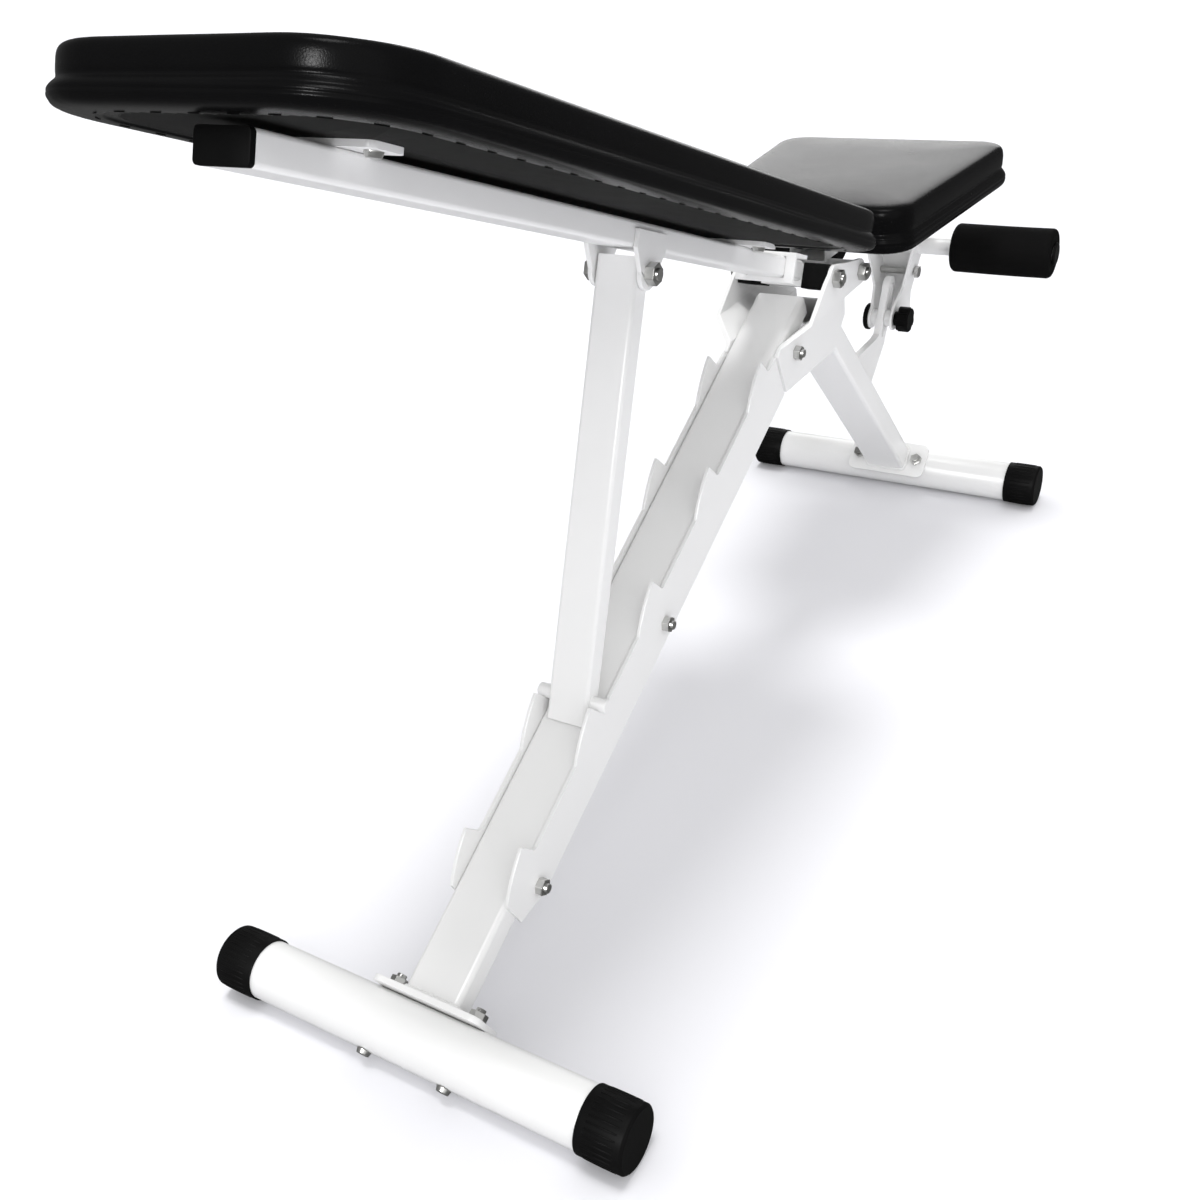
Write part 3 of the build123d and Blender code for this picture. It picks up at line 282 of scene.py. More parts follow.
def finish(name, dark, light, rough, sizes, bump, metal=0.0, shine=0.5):
    """A Principled finish: sizes are the scales of drift and grain, bump its strength and depth."""
    material = bpy.data.materials.new(name)
    material.use_nodes = True
    tree = material.node_tree
    skin = tree.nodes["Principled BSDF"]
    skin.inputs["Metallic"].default_value = metal
    skin.inputs["Specular IOR Level"].default_value = shine
    tone = node_of(tree, "ShaderNodeGroup", (-900, 200))
    tone.node_tree = drift
    tone.inputs["Drift Scale"].default_value, tone.inputs["Grain Scale"].default_value = sizes
    worn = node_of(tree, "ShaderNodeGroup", (-900, -100))
    worn.node_tree = rubs
    worn.inputs["Scale"].default_value, worn.inputs["Edge"].default_value = RUB_SCALE, RUB_EDGE
    colour = node_of(tree, "ShaderNodeMix", (-500, 300))
    colour.data_type = "RGBA"
    colour.inputs["A"].default_value = (*dark, 1)
    colour.inputs["B"].default_value = (*light, 1)
    tree.links.new(tone.outputs["Drift"], colour.inputs["Factor"])
    tree.links.new(colour.outputs["Result"], skin.inputs["Base Color"])
    gloss = node_of(tree, "ShaderNodeMapRange", (-500, 0))
    gloss.inputs["To Min"].default_value, gloss.inputs["To Max"].default_value = rough
    tree.links.new(tone.outputs["Drift"], gloss.inputs["Value"])
    rubbed = node_of(tree, "ShaderNodeMath", (-300, 0))
    rubbed.operation = "MULTIPLY_ADD"
    rubbed.inputs[1].default_value = RUB_DULLING
    tree.links.new(worn.outputs["Mask"], rubbed.inputs[0])
    tree.links.new(gloss.outputs[0], rubbed.inputs[2])
    tree.links.new(rubbed.outputs[0], skin.inputs["Roughness"])
    relief = node_of(tree, "ShaderNodeBump", (-300, -250), Strength=bump[0], Distance=bump[1])
    tree.links.new(tone.outputs["Grain"], relief.inputs["Height"])
    tree.links.new(relief.outputs[0], skin.inputs["Normal"])
    return material


finishes = {
    "white_powder_coat": finish(
        "white_powder_coat", dark=(0.84, 0.84, 0.835), light=(0.89, 0.89, 0.885), rough=(0.30, 0.42),
        sizes=(9.0, 700.0), bump=(0.12, 0.4 * MM)),
    "black_plastic": finish(
        "black_plastic", dark=(0.004, 0.004, 0.004), light=(0.007, 0.007, 0.007), rough=(0.38, 0.5),
        sizes=(40.0, 2200.0), bump=(0.25, 0.2 * MM), shine=0.035),
    "zinc_steel": finish(
        "zinc_steel", dark=(0.5, 0.5, 0.49), light=(0.66, 0.66, 0.64), rough=(0.24, 0.38),
        sizes=(150.0, 1500.0), bump=(0.1, 0.2 * MM), metal=1.0),
    "black_board": finish(
        "black_board", dark=(0.010, 0.010, 0.010), light=(0.019, 0.019, 0.018), rough=(0.7, 0.85),
        sizes=(60.0, 600.0), bump=(0.3, 0.4 * MM), shine=0.15),
    "black_vinyl": finish(
        "black_vinyl", dark=(0.003, 0.003, 0.0031), light=(0.005, 0.005, 0.0053), rough=(0.22, 0.30),
        sizes=(14.0, 1100.0), bump=(0.3, 0.3 * MM), shine=0.04),
    "black_foam": finish(
        "black_foam", dark=(0.003, 0.003, 0.003), light=(0.005, 0.005, 0.005), rough=(0.7, 0.85),
        sizes=(30.0, 1400.0), bump=(0.6, 0.5 * MM), shine=0.05),
}
for part in frame["record"]["subparts"]:
    shell = nodes[part["node"]]
    shell.data.materials.clear()
    shell.data.materials.append(finishes[part["material_slot"]])

# %% [markdown]
# ## The pads
# Each pad is foam glued to a plywood board, with vinyl pulled over it and stapled underneath. Seen
# from the side there are two tiers: the foam's own smooth band above, then a waist where the vinyl
# is drawn in at the foam's foot, then the board's edge with its pulled creases. The shell is made of
# rings that follow the pad's rounded outline, swollen by a short cloth simulation so that the faces
# crown, and the waist and creases are pressed in afterwards.

# %% Pad outline
CORNER_STEPS = 10
PAD_STEP = 14 * MM
SIDE_FADE, SIDE_FADE_FROM = 12, 10.6
TINY = 1e-9


class Outline:
    """A pad's rounded outline from low to high, with a half width and a corner radius for each end."""

    def __init__(self, low, high, halves, radii):
        self.low, self.high, self.halves, self.radii = low, high, halves, radii
        self.half = min(halves)
        self.lean = math.atan2(halves[1] - halves[0], high - low)
        self.along = round((high - low - sum(radii)) / PAD_STEP)
        self.across = 2 * round((self.half - max(radii)) / PAD_STEP) + 1

    def half_at(self, x):
        """Half the width at a place along the pad."""
        return self.halves[0] + (x - self.low) * math.tan(self.lean)

    def ring(self, inset):
        """Points of the outline drawn in by an inset, always the same number of them."""
        near, far = (radius * (1 - inset / self.half) for radius in self.radii)
        low, high = self.low + inset + near, self.high - inset - far
        low_y = self.half_at(low) - (inset + near) / math.cos(self.lean)
        high_y = self.half_at(high) - (inset + far) / math.cos(self.lean)
        turn = math.degrees(self.lean)
        corners = (
            ((high, -high_y), far, -90 - turn, 0), ((high, high_y), far, 0, 90 + turn),
            ((low, low_y), near, 90 + turn, 180), ((low, -low_y), near, 180, 270 - turn))
        arcs = []
        for centre, radius, first, last in corners:
            angles = [
                math.radians(first + (last - first) * step / CORNER_STEPS)
                for step in range(CORNER_STEPS + 1)]
            arcs.append([
                (centre[0] + radius * math.cos(a), centre[1] + radius * math.sin(a)) for a in angles])
        points = []
        for index, steps in enumerate((self.across, self.along, self.across, self.along)):
            here, after = arcs[index][-1], arcs[(index + 1) % 4][0]
            points += arcs[index]
            points += [
                tuple(a + (b - a) * step / steps for a, b in zip(here, after)) for step in range(1, steps)]
        return points

    def nearest(self, points):
        """For each point: outward direction, a measure that runs on along the sides, nearness to them."""
        x, y = points[:, 0], points[:, 1]
        middle = (self.low + self.high) / 2
        half = self.half_at(x)
        radius = np.where(x > middle, self.radii[1], self.radii[0])
        core_x = np.clip(x, self.low + self.radii[0], self.high - self.radii[1])
        core_y = np.clip(y, radius - half, half - radius)
        away = np.stack((x - core_x, y - core_y), axis=1)
        length = np.maximum(np.linalg.norm(away, axis=1), TINY)
        share = np.maximum(np.abs(x - middle) / (self.high - middle), np.abs(y) / half)
        return away / length[:, None], x + y, np.clip(share * SIDE_FADE - SIDE_FADE_FROM, 0, 1)


print("outline with", CORNER_STEPS, "steps in each corner")

# %% [markdown]
# ### The shell and its simulation
# Heights are shares of the pad's height, insets are millimetres from its widest line. The rings run
# from the stapled hem underneath, round the board's edge, up the side and in to the middle.

# %% Pad shell
HEM_WIDTH = 24
SIDE_RINGS = (
    (HEM_WIDTH, 0.05), (HEM_WIDTH, 0.012), (HEM_WIDTH, -0.018), (15, -0.02), (8, -0.012), (4.4, 0.014),
    (2.2, 0.05), (0.9, 0.095), (0.2, 0.147), (0.0, 0.198), (0.1, 0.243), (0.5, 0.289), (1.2, 0.328),
    (2.1, 0.368), (3.0, 0.407), (3.5, 0.448), (3.6, 0.494), (3.6, 0.56), (3.5, 0.625), (3.4, 0.69),
    (3.4, 0.75), (3.6, 0.81), (4.0, 0.86), (4.8, 0.903), (6.2, 0.94), (9.0, 0.967), (14.0, 0.982))
CROWN_FROM, CROWN_POWER = 0.982, 2.4
CROWN_STEP, MIDDLE_GAP = 13.0, 1.5


def pad_rings(outline):
    """(inset, share of height) for every ring of a pad, from the hem to the middle line."""
    rings = list(SIDE_RINGS)
    middle = outline.half / MM - MIDDLE_GAP
    inset = rings[-1][0]
    start = inset
    while inset + CROWN_STEP < middle:
        inset += CROWN_STEP
        share = (inset - start) / (middle - start)
        rings.append((inset, CROWN_FROM + (1 - CROWN_FROM) * (1 - (1 - share) ** CROWN_POWER)))
    return rings


def pad_mesh(name, outline, height):
    """Closed pad shell in the pad's own coordinates: x along, y across, z out of the face."""
    points, faces = [], []
    rings = pad_rings(outline)
    for inset, share in rings:
        points += [(x, y, share * height) for x, y in outline.ring(inset * MM)]
    count = len(points) // len(rings)
    for ring in range(len(rings) - 1):
        for step in range(count):
            here, there = ring * count + step, ring * count + (step + 1) % count
            faces.append((here, there, there + count, here + count))
    faces.append(tuple(reversed(range(count))))
    last, turn = len(points) - count, CORNER_STEPS + outline.across // 2
    for step in range(count // 2 - 1):
        pair = (turn - step, turn + 1 + step, turn + 2 + step, turn - 1 - step)
        faces.append(tuple(last + index % count for index in pair))
    mesh = bpy.data.meshes.new(name)
    mesh.from_pydata(points, [], faces)
    return mesh


print("pad shell of", len(SIDE_RINGS), "rings up to the crown")

# %% [markdown]
# ### Swelling
# Foam pushes the vinyl out, most of all where nothing holds it. A short cloth simulation under
# pressure gives that shape, with everything below the foam's foot held still. Left alone it would
# balloon and buckle, so the movement is capped and evened before it is put on the shell.

# %% Swelling
PRESSURE = 4.0
HELD_SHARE = 0.41
SWELL_CAP = 0.9 * MM
SIM_FRAMES = 20
EVEN_PASSES = 12


def evened(shift, ring_count):
    """Average a shift with its neighbours along and across the rings, so that no buckle is left."""
    grid = shift.reshape(ring_count, -1, 3)
    for _ in range(EVEN_PASSES):
        round_it = (np.roll(grid, 1, axis=1) + np.roll(grid, -1, axis=1)) / 2
        over_it = grid.copy()
        over_it[1:-1] = (grid[2:] + grid[:-2]) / 2
        grid = grid / 2 + round_it / 4 + over_it / 4
    return grid.reshape(-1, 3)


def swell(mesh, height, ring_count):
    """Inflate a pad shell with a short cloth simulation, holding its board, and cap the swelling."""
    body = bpy.data.objects.new("swelling_pad", mesh)
    bpy.context.collection.objects.link(body)
    rest = np.empty(len(mesh.vertices) * 3)
    mesh.vertices.foreach_get("co", rest)
    rest = rest.reshape(-1, 3)
    held = body.vertex_groups.new(name="board")
    for index in np.flatnonzero(rest[:, 2] < HELD_SHARE * height):
        held.add([int(index)], 1.0, "REPLACE")
    cloth = body.modifiers.new("swell", "CLOTH")
    settings = cloth.settings
    settings.quality = 3
    settings.mass = 0.4
    settings.tension_stiffness = settings.compression_stiffness = 40
    settings.shear_stiffness = 20
    settings.bending_stiffness = 4
    settings.vertex_group_mass = held.name
    settings.use_pressure = True
    settings.uniform_pressure_force = PRESSURE
    settings.effector_weights.gravity = 0
    scene = bpy.context.scene
    cloth.point_cache.frame_start, cloth.point_cache.frame_end = 1, SIM_FRAMES
    for number in range(1, SIM_FRAMES + 1):
        scene.frame_set(number)
    result = body.evaluated_get(bpy.context.evaluated_depsgraph_get())
    moved = np.empty(len(mesh.vertices) * 3)
    result.data.vertices.foreach_get("co", moved)
    shift = moved.reshape(-1, 3) - rest
    scene.frame_set(1)
    size = np.maximum(np.linalg.norm(shift, axis=1), TINY)
    shift *= (SWELL_CAP * np.tanh(size / SWELL_CAP) / size)[:, None]
    shift = evened(shift, ring_count)
    bpy.data.objects.remove(body)
    mesh.vertices.foreach_set("co", (rest + shift).ravel())
    print("swollen by up to", round(float(np.abs(shift).max()) / MM, 1), "mm")


def subdivided(mesh):
    """The mesh after one Catmull-Clark step, as a plain mesh."""
    holder = bpy.data.objects.new("subdividing", mesh)
    bpy.context.collection.objects.link(holder)
    step = holder.modifiers.new("smooth", "SUBSURF")
    step.levels = step.render_levels = 1
    depsgraph = bpy.context.evaluated_depsgraph_get()
    smooth = bpy.data.meshes.new_from_object(holder.evaluated_get(depsgraph))
    bpy.data.objects.remove(holder)
    return smooth


print("swelling capped at", SWELL_CAP / MM, "mm")


# %% [markdown]
# ### Waist and creases
# The vinyl is drawn in where the foam meets the board. Below that waist it wrinkles in a few long
# lines that wander as they go round, and at the rounded corners it gathers into short pleats.

# %% Pull in the vinyl
WAIST_SHARE = 0.43
WAIST_DEPTH, WAIST_WIDTH = 0.9 * MM, 2.6 * MM
CREASES = ((0.11, 0.7, 7.0, 0.4), (0.21, 1.0, 5.0, 2.1), (0.30, 0.85, 9.0, 4.0), (0.45, 0.45, 6.0, 1.3))
CREASE_WIDTH, CREASE_WANDER = 0.9 * MM, 0.8 * MM
WANDER_RATE, FADE_RATE, FADE_PHASE = 2.3, 1.7, 3
PLEAT_DEPTH, PLEAT_SHARE, PLEAT_FROM = 0.9 * MM, 0.2, 1.2
PLEAT_SPREAD, PLEAT_RATE = 3, 52


def draw_in(mesh, outline, height):
    """Press the waist, the creases and the corner pleats into the side of a pad shell.

    A crease is a share of the height, a depth in millimetres, waves in a metre and a phase.
    """
    points = np.empty(len(mesh.vertices) * 3)
    mesh.vertices.foreach_get("co", points)
    points = points.reshape(-1, 3)
    outward, way, beside = outline.nearest(points)
    rise = points[:, 2]
    depth = WAIST_DEPTH * np.exp(-(((rise - WAIST_SHARE * height) / WAIST_WIDTH) ** 2))
    for share, deep, waves, phase in CREASES:
        wander = np.sin(waves * way + phase) * np.cos(WANDER_RATE * waves * way)
        line = share * height + CREASE_WANDER * wander
        fade = 0.5 + 0.5 * np.sin(FADE_RATE * waves * way + FADE_PHASE * phase)
        depth += deep * MM * fade * np.exp(-(((rise - line) / CREASE_WIDTH) ** 2))
    corner = np.minimum(np.abs(outward[:, 0]), np.abs(outward[:, 1]))
    bearing = np.arctan2(outward[:, 1], outward[:, 0])
    low = np.clip(1 - rise / (PLEAT_SHARE * height), 0, 1) * np.clip(rise / MM + PLEAT_FROM, 0, 1)
    pleats = 0.5 + 0.5 * np.sin(PLEAT_RATE * bearing)
    depth += PLEAT_DEPTH * np.clip(corner * PLEAT_SPREAD, 0, 1) * low * pleats
    points[:, :2] -= outward * (depth * beside)[:, None]
    mesh.vertices.foreach_set("co", points.ravel())


def add_pad(name, node, body, outline, height, place):
    """Model one pad, put it in place and let it stand for its CAD node."""
    mesh = pad_mesh(name, outline, height)
    swell(mesh, height, len(pad_rings(outline)))
    mesh = subdivided(mesh)
    mesh.name = name
    draw_in(mesh, outline, height)
    mesh.transform(place)
    mesh.polygons.foreach_set("use_smooth", [True] * len(mesh.polygons))
    mesh.materials.clear()
    mesh.materials.append(finishes["black_vinyl"])
    pad = bpy.data.objects.new(name, mesh)
    bpy.context.collection.objects.link(pad)
    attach(pad, body)
    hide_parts(node)
    print(name, len(mesh.polygons), "faces")


print("waist and", len(CREASES), "creases ready")

# %% [markdown]
# ### Both pads in place
# The back pad lies along the backrest's tube, so its slope is worked out from two joints: the hinge
# at the tube's end and the prop's pivot below it. It is wider at the hinge than at the head. The seat
# is level and narrower at the rear, and takes its length and front width from the CAD cushion.

# %% Both pads
PIVOT_ALONG, PIVOT_DROP = 345 * MM, 24 * MM
PAD_BASE = 17 * MM
BACK_SPAN = (128 * MM, 817 * MM)
BACK_HALVES, BACK_CORNERS, BACK_HEIGHT = (143 * MM, 124 * MM), (45 * MM, 60 * MM), 34.5 * MM
SEAT_REAR_HALF, SEAT_CORNERS, SEAT_HEIGHT = 114 * MM, (30 * MM, 30 * MM), 46 * MM
hinge = Vector(joints["back_tilt"]["pos_m"])
pivot = Vector(joints["prop_swing"]["pos_m"])
back_angle = math.atan2(pivot.z - hinge.z, hinge.x - pivot.x) + math.atan2(PIVOT_DROP, PIVOT_ALONG)
back_along = Vector((-math.cos(back_angle), 0, math.sin(back_angle)))
back_out = Vector((math.sin(back_angle), 0, math.cos(back_angle)))
back_turn = Matrix((back_along, back_out.cross(back_along), back_out)).transposed().to_4x4()
back_place = Matrix.Translation(hinge + PAD_BASE * back_out) @ back_turn
BACK_PAD = Outline(*BACK_SPAN, BACK_HALVES, BACK_CORNERS)
add_pad("back_pad", "back_pad_cushion", "backrest", BACK_PAD, BACK_HEIGHT, back_place)

seat_low, seat_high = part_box("seat_cushion")
SEAT_PAD = Outline(seat_low[0], seat_high[0], (SEAT_REAR_HALF, seat_high[1]), SEAT_CORNERS)
seat_place = Matrix.Translation((0, 0, seat_low[2]))
add_pad("seat_pad", "seat_cushion", "seat", SEAT_PAD, SEAT_HEIGHT, seat_place)
print("backrest at", round(math.degrees(back_angle), 2), "degrees")

# %% [markdown]
# ## Foam rollers
# A roller is a thick tube of closed-cell foam pushed over the steel bar. Its ends are cut square and
# have softened a little, and its skin is never quite even. Rings of points are turned about the bar,
# with a slow waviness worked into their radius.

# %% Rollers
ROUND_STEPS, LIP_STEPS, HALF_STEPS = 96, 8, 6
ROLLER_BORE, ROLLER_LIP = 10.1 * MM, 5 * MM
BORE_EDGE = ((0.6 * MM, 0.0), (0.2 * MM, 2 * MM), (0.0, 5 * MM))
SKIN_FROM, SKIN_SINK = 6 * MM, 0.4 * MM
SKIN_WAVE, SKIN_RATE = 0.35 * MM, 40


def roller_profile(inner, outer, length):
    """(distance along the bar, radius) of a roller's section, from bore to bore."""
    half = [(along, inner + rise) for along, rise in BORE_EDGE]
    for step in range(LIP_STEPS + 1):
        angle = math.radians(90 * step / LIP_STEPS)
        half.append((
            ROLLER_LIP - ROLLER_LIP * math.cos(angle), outer - ROLLER_LIP + ROLLER_LIP * math.sin(angle)))
    reach = length / 2 - ROLLER_LIP
    half += [(ROLLER_LIP + reach * step / HALF_STEPS, outer) for step in range(1, HALF_STEPS + 1)]
    return half + [(length - along, radius) for along, radius in reversed(half[:-1])]


def add_roller(name, node, body, centre, phase):
    """One foam sleeve about its bar, replacing its CAD solid."""
    low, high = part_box(node)
    profile = roller_profile(ROLLER_BORE, (high[2] - low[2]) / 2, high[1] - low[1])
    points, faces = [], []
    for along, radius in profile:
        for step in range(ROUND_STEPS):
            angle = 2 * math.pi * step / ROUND_STEPS
            wave = math.sin(2 * angle + phase) * math.sin(SKIN_RATE * along + phase) * math.cos(3 * angle)
            out = radius + (SKIN_WAVE * wave - SKIN_SINK if radius > ROLLER_BORE + SKIN_FROM else 0)
            points.append((
                centre[0] + out * math.cos(angle), low[1] + along, centre[2] + out * math.sin(angle)))
    total = len(profile)
    for ring in range(total):
        for step in range(ROUND_STEPS):
            after = (step + 1) % ROUND_STEPS
            here, there = ring * ROUND_STEPS, (ring + 1) % total * ROUND_STEPS
            faces.append((here + step, there + step, there + after, here + after))
    mesh = bpy.data.meshes.new(name)
    mesh.from_pydata(points, [], faces)
    shape = bmesh.new()
    shape.from_mesh(mesh)
    bmesh.ops.recalc_face_normals(shape, faces=shape.faces)
    shape.to_mesh(mesh)
    shape.free()
    mesh.polygons.foreach_set("use_smooth", [True] * len(mesh.polygons))
    mesh.materials.append(finishes["black_foam"])
    roller = bpy.data.objects.new(name, mesh)
    bpy.context.collection.objects.link(roller)
    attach(roller, body)
    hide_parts(node)
    print(name, len(mesh.polygons), "faces")


for hand, phase in (("left", 0.4), ("right", 2.7)):
    add_roller(
        f"roller_{hand}", f"foam_roller_{hand}", f"roller_{hand}",
        joints[f"roller_{hand}_spin"]["pos_m"], phase)

# %% [markdown]
# ## Softened edges
# Sheet steel and moulded plastic never end in a perfect corner, and the thin bright line along an
# edge is what makes metal look solid. The CAD meshes are loose triangles, so each gets three
# modifiers: Weld joins the triangles, Decimate clears the lines inside flat faces, and Bevel rounds
# the edges that are left. Nothing moves, and the CAD mesh itself stays as it was.

# %% Edge rounding
EDGE_ROUND, JOIN_WITHIN = 0.45 * MM, 0.01 * MM
FLAT_ANGLE, EDGE_ANGLE = math.radians(0.5), math.radians(42)
SOFT_NODES = ("back_pad_cushion", "seat_cushion", "foam_roller_left", "foam_roller_right")
rounded = 0
for name, shell in nodes.items():
    if name in SOFT_NODES:
        continue
    join = shell.modifiers.new("join", "WELD")
    join.merge_threshold = JOIN_WITHIN
    clear = shell.modifiers.new("clear", "DECIMATE")
    clear.decimate_type = "DISSOLVE"
    clear.angle_limit = FLAT_ANGLE
    ease = shell.modifiers.new("ease", "BEVEL")
    ease.width = EDGE_ROUND
    ease.segments = 2
    ease.limit_method = "ANGLE"
    ease.angle_limit = EDGE_ANGLE
    rounded += 1
print("rounded", rounded, "nodes")

# %% [markdown]
# ## Small things that repeat
# The ribs round the foot caps, the ripples of a weld and the staples under a pad are each one small
# shape set at even steps along a line. A Geometry Nodes tree does that for all three: it is given
# the line as loose edges, the shape, the step and the finish. It is then turned into a plain mesh,
# so that each group of repeats is a piece that rides on its own body.

# %% Repeat tree
INPUTS = (
    ("Path", "NodeSocketGeometry"), ("Shape", "NodeSocketObject"), ("Step", "NodeSocketFloat"),
    ("Follow", "NodeSocketBool"), ("Variation", "NodeSocketFloat"), ("Finish", "NodeSocketMaterial"))
SIZE_SEED = 11
repeat_tree = bpy.data.node_groups.new("repeat_along_path", "GeometryNodeTree")
sockets = {
    label: repeat_tree.interface.new_socket(label, in_out="INPUT", socket_type=kind).identifier
    for label, kind in INPUTS}
repeat_tree.interface.new_socket("Geometry", in_out="OUTPUT", socket_type="NodeSocketGeometry")


def tree_node(kind, at):
    """Add a node to the repeat tree at a place in its editor."""
    made = repeat_tree.nodes.new(kind)
    made.location = at
    return made


given = tree_node("NodeGroupInput", (-800, 0))
curve = tree_node("GeometryNodeMeshToCurve", (-600, 200))
spots = tree_node("GeometryNodeCurveToPoints", (-400, 200))
spots.mode = "LENGTH"
shape = tree_node("GeometryNodeObjectInfo", (-400, -100))
facing = tree_node("GeometryNodeSwitch", (-200, 0))
facing.input_type = "ROTATION"
least = tree_node("ShaderNodeMath", (-600, -250))
least.operation = "SUBTRACT"
least.inputs[0].default_value = 1.0
most = tree_node("ShaderNodeMath", (-600, -420))
most.operation = "ADD"
most.inputs[0].default_value = 1.0
sizes = tree_node("FunctionNodeRandomValue", (-400, -300))
sizes.data_type = "FLOAT"
copies = tree_node("GeometryNodeInstanceOnPoints", (0, 200))
real = tree_node("GeometryNodeRealizeInstances", (200, 200))
coat = tree_node("GeometryNodeSetMaterial", (400, 200))
result = tree_node("NodeGroupOutput", (600, 200))
numbers = {socket.identifier: socket for socket in sizes.inputs}
numbers["Seed"].default_value = SIZE_SEED
for start, end in (
    (given.outputs["Path"], curve.inputs["Mesh"]),
    (curve.outputs["Curve"], spots.inputs["Curve"]),
    (given.outputs["Step"], spots.inputs["Length"]),
    (given.outputs["Shape"], shape.inputs["Object"]),
    (given.outputs["Follow"], facing.inputs["Switch"]),
    (spots.outputs["Rotation"], facing.inputs["True"]),
    (given.outputs["Variation"], least.inputs[1]),
    (given.outputs["Variation"], most.inputs[1]),
    (least.outputs[0], numbers["Min_001"]),
    (most.outputs[0], numbers["Max_001"]),
    (spots.outputs["Points"], copies.inputs["Points"]),
    (shape.outputs["Geometry"], copies.inputs["Instance"]),
    (facing.outputs["Output"], copies.inputs["Rotation"]),
    (next(o for o in sizes.outputs if o.identifier == "Value_001"), copies.inputs["Scale"]),
    (copies.outputs["Instances"], real.inputs["Geometry"]),
    (real.outputs["Geometry"], coat.inputs["Geometry"]),
    (given.outputs["Finish"], coat.inputs["Material"]),
    (coat.outputs["Geometry"], result.inputs["Geometry"]),
):
    repeat_tree.links.new(start, end)


def repeat(name, paths, shape_mesh, step, body, finish_name, follow=True, variation=0.0):
    """Copies of a shape along paths, each a (points, closed) pair, as one piece on a body."""
    points, edges = [], []
    for path, closed in paths:
        first = len(points)
        points += [tuple(point) for point in path]
        edges += [(index, index + 1) for index in range(first, len(points) - 1)]
        if closed:
            edges.append((len(points) - 1, first))
    line_mesh = bpy.data.meshes.new(name + "_path")
    line_mesh.from_pydata(points, edges, [])
    line = bpy.data.objects.new(name + "_path", line_mesh)
    model = bpy.data.objects.new(name + "_shape", shape_mesh)
    for helper in (line, model):
        bpy.context.collection.objects.link(helper)
    steps = line.modifiers.new("repeat", "NODES")
    steps.node_group = repeat_tree
    for label, value in (
        ("Shape", model), ("Step", step), ("Follow", follow), ("Variation", variation),
        ("Finish", finishes[finish_name]),
    ):
        steps[sockets[label]] = value
    depsgraph = bpy.context.evaluated_depsgraph_get()
    mesh = bpy.data.meshes.new_from_object(line.evaluated_get(depsgraph))
    for helper in (line, model):
        bpy.data.objects.remove(helper)
    mesh.name = name
    mesh.polygons.foreach_set("use_smooth", [True] * len(mesh.polygons))
    piece = bpy.data.objects.new(name, mesh)
    bpy.context.collection.objects.link(piece)
    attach(piece, body)
    print(name, len(mesh.polygons), "faces")


EQUATOR = 1e-6


def pill(name, length, radius, axis):
    """A bar with rounded ends: a sphere stretched along z, or along y where the axis is 1."""
    shape = bmesh.new()
    bmesh.ops.create_uvsphere(shape, u_segments=10, v_segments=6, radius=radius)
    for vertex in shape.verts:
        if abs(vertex.co.z) > EQUATOR:
            vertex.co.z += math.copysign(length / 2 - radius, vertex.co.z)
        if axis == 1:
            vertex.co = (vertex.co.x, vertex.co.z, -vertex.co.y)
    mesh = bpy.data.meshes.new(name)
    shape.to_mesh(mesh)
    shape.free()
    return mesh


print("repeat tree with", len(repeat_tree.nodes), "nodes")

# %% [markdown]
# ## Ribs on the foot caps
# The moulded caps at the ends of both feet have fine ribs for grip. They run along the foot, side by
# side round the cap, and stop short of the floor so that the cap stands on its own flat.

# %% Ribs on the foot caps
RIB_LENGTH, RIB_RADIUS, RIB_STEP = 25 * MM, 1.0 * MM, 4.6 * MM
RIB_SINK = 0.45 * MM
RIB_FROM, RIB_TO, RIB_TURN = -56, 236, 4


def cap_arc(node):
    """The line round a foot cap where its ribs sit, left open above the floor."""
    low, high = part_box(node)
    radius = (high.x - low.x) / 2
    centre = Vector(((low.x + high.x) / 2, (low.y + high.y) / 2, high.z - radius))
    angles = (math.radians(angle) for angle in range(RIB_FROM, RIB_TO + 1, RIB_TURN))
    reach = radius - RIB_SINK
    return [centre + reach * Vector((math.cos(angle), 0, math.sin(angle))) for angle in angles]


cap_nodes = [f"{end}_foot_cap_{hand}" for end in ("rear", "front") for hand in ("left", "right")]
repeat(
    "foot_cap_ribs", [(cap_arc(node), False) for node in cap_nodes],
    pill("rib", RIB_LENGTH, RIB_RADIUS, 1), RIB_STEP, "frame", "black_plastic", follow=False)

# %% [markdown]
# ## Welds
# The post and the leg are welded all round to their saddle plates. A weld is a row of overlapping
# ripples under the powder coat. Where each one runs is read from the CAD nodes: the long direction
# of a tube, and the rim of its lower end.

# %% Weld beads
BEAD_STEP, BEAD_RADIUS = 1.9 * MM, 2.1 * MM
BEAD_LENGTH = 1.3 * BEAD_RADIUS * 2
TUBE_BEND, BEND_STEPS = 4.5 * MM, 4
END_WITHIN, BEAD_RISE = 0.1 * MM, 1.0 * MM
ACROSS = np.array((0, 1, 0))


def node_points(node):
    """Vertices of a CAD node as an array."""
    return np.array([vertex.co for vertex in nodes[node].data.vertices])


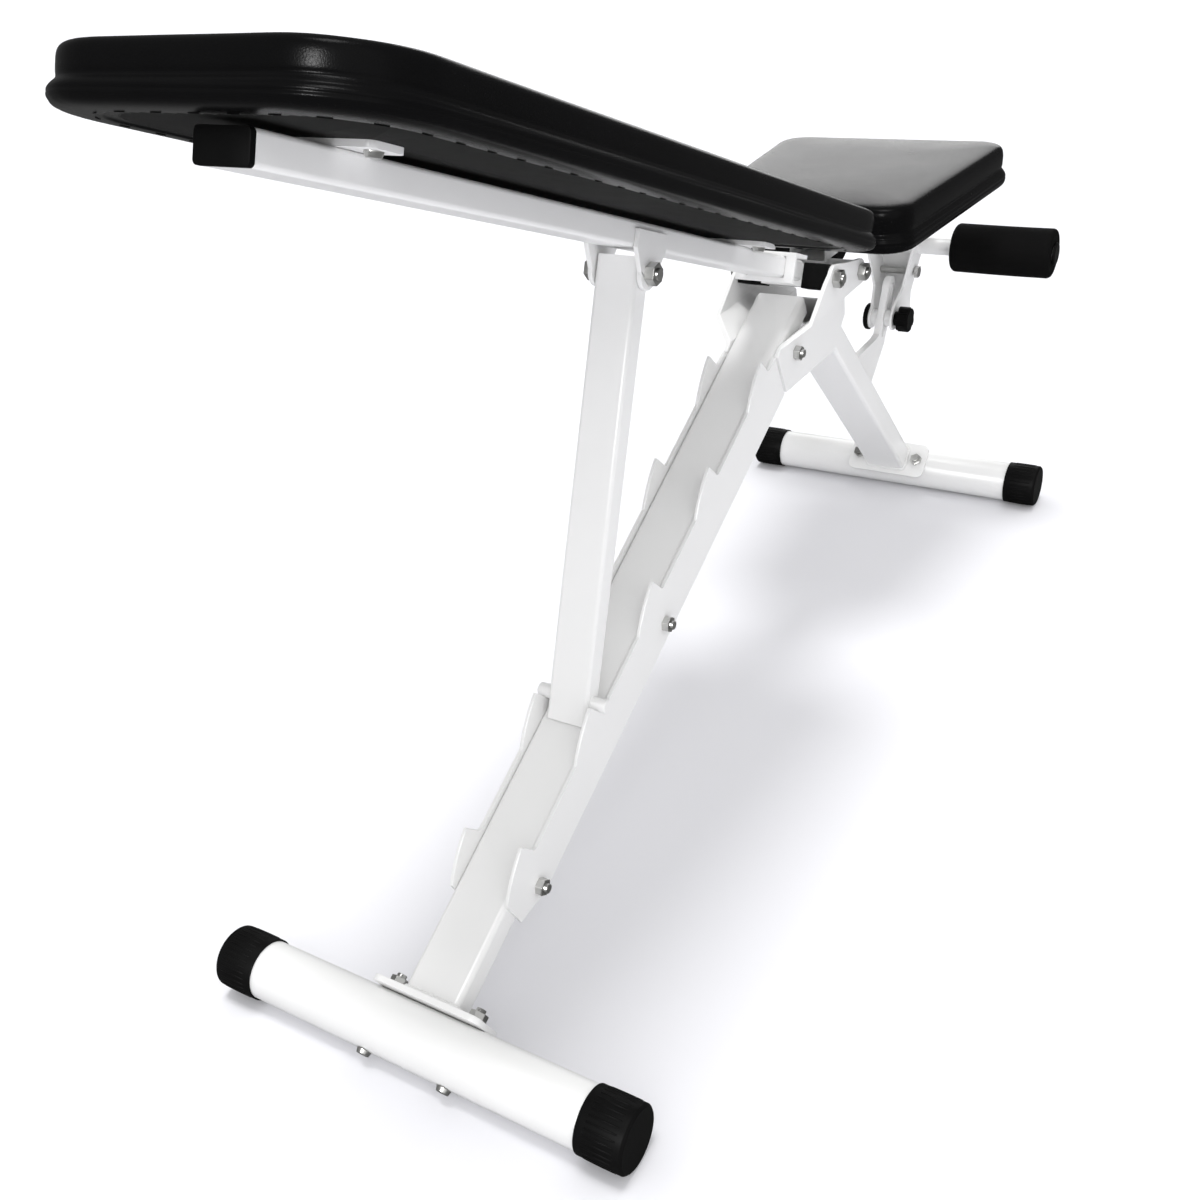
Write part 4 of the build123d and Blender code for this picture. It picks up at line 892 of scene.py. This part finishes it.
def foot_rim(node):
    """The rounded line round the lower end of a sloping tube whose sides face across the bench."""
    points = node_points(node)
    centred = points - points.mean(axis=0)
    axis = np.linalg.svd(centred, full_matrices=False)[2][0]
    axis *= math.copysign(1, axis[2])
    side = np.cross(axis, ACROSS)
    along = points @ axis
    face = points[along < along.min() + END_WITHIN]
    deep = face @ side
    middle = axis * (along.min() + BEAD_RISE) + side * (deep.max() + deep.min()) / 2
    half_deep = (deep.max() - deep.min()) / 2
    half_wide = (face[:, 1].max() - face[:, 1].min()) / 2
    rim = []
    for corner_deep, corner_wide, first in ((1, 1, 0), (-1, 1, 90), (-1, -1, 180), (1, -1, 270)):
        for step in range(BEND_STEPS + 1):
            angle = math.radians(first + 90 * step / BEND_STEPS)
            offset_deep = corner_deep * (half_deep - TUBE_BEND) + TUBE_BEND * math.cos(angle)
            offset_wide = corner_wide * (half_wide - TUBE_BEND) + TUBE_BEND * math.sin(angle)
            rim.append(middle + side * offset_deep + ACROSS * offset_wide)
    return rim


repeat(
    "frame_welds", [(foot_rim("main_post"), True), (foot_rim("front_leg"), True)],
    pill("bead", BEAD_LENGTH, BEAD_RADIUS, 2), BEAD_STEP, "frame", "white_powder_coat",
    variation=0.12)

# %% [markdown]
# ## Staples
# Underneath, the vinyl's hem is stapled to the board. The staples lie in a row along the hem, in from
# the pad's edge, so the pad's own outline gives their line and the tree above sets them along it.

# %% Staples under the pads
STAPLE_LENGTH, STAPLE_RADIUS, STAPLE_STEP = 8 * MM, 0.35 * MM, 27 * MM
STAPLE_INSET, STAPLE_DROP = 20 * MM, 0.8 * MM
staple = pill("staple", STAPLE_LENGTH, STAPLE_RADIUS, 2)
for name, outline, place, body in (
    ("back_pad_staples", BACK_PAD, back_place, "backrest"), ("seat_staples", SEAT_PAD, seat_place, "seat"),
):
    hem = [place @ Vector((x, y, -STAPLE_DROP)) for x, y in outline.ring(STAPLE_INSET)]
    # The staples wear the black plastic finish as painted shade: they are coloured as dark as the shaded
    # underside of the pad instead of bright steel.
    repeat(name, [(hem, True)], staple, STAPLE_STEP, body, "black_plastic")
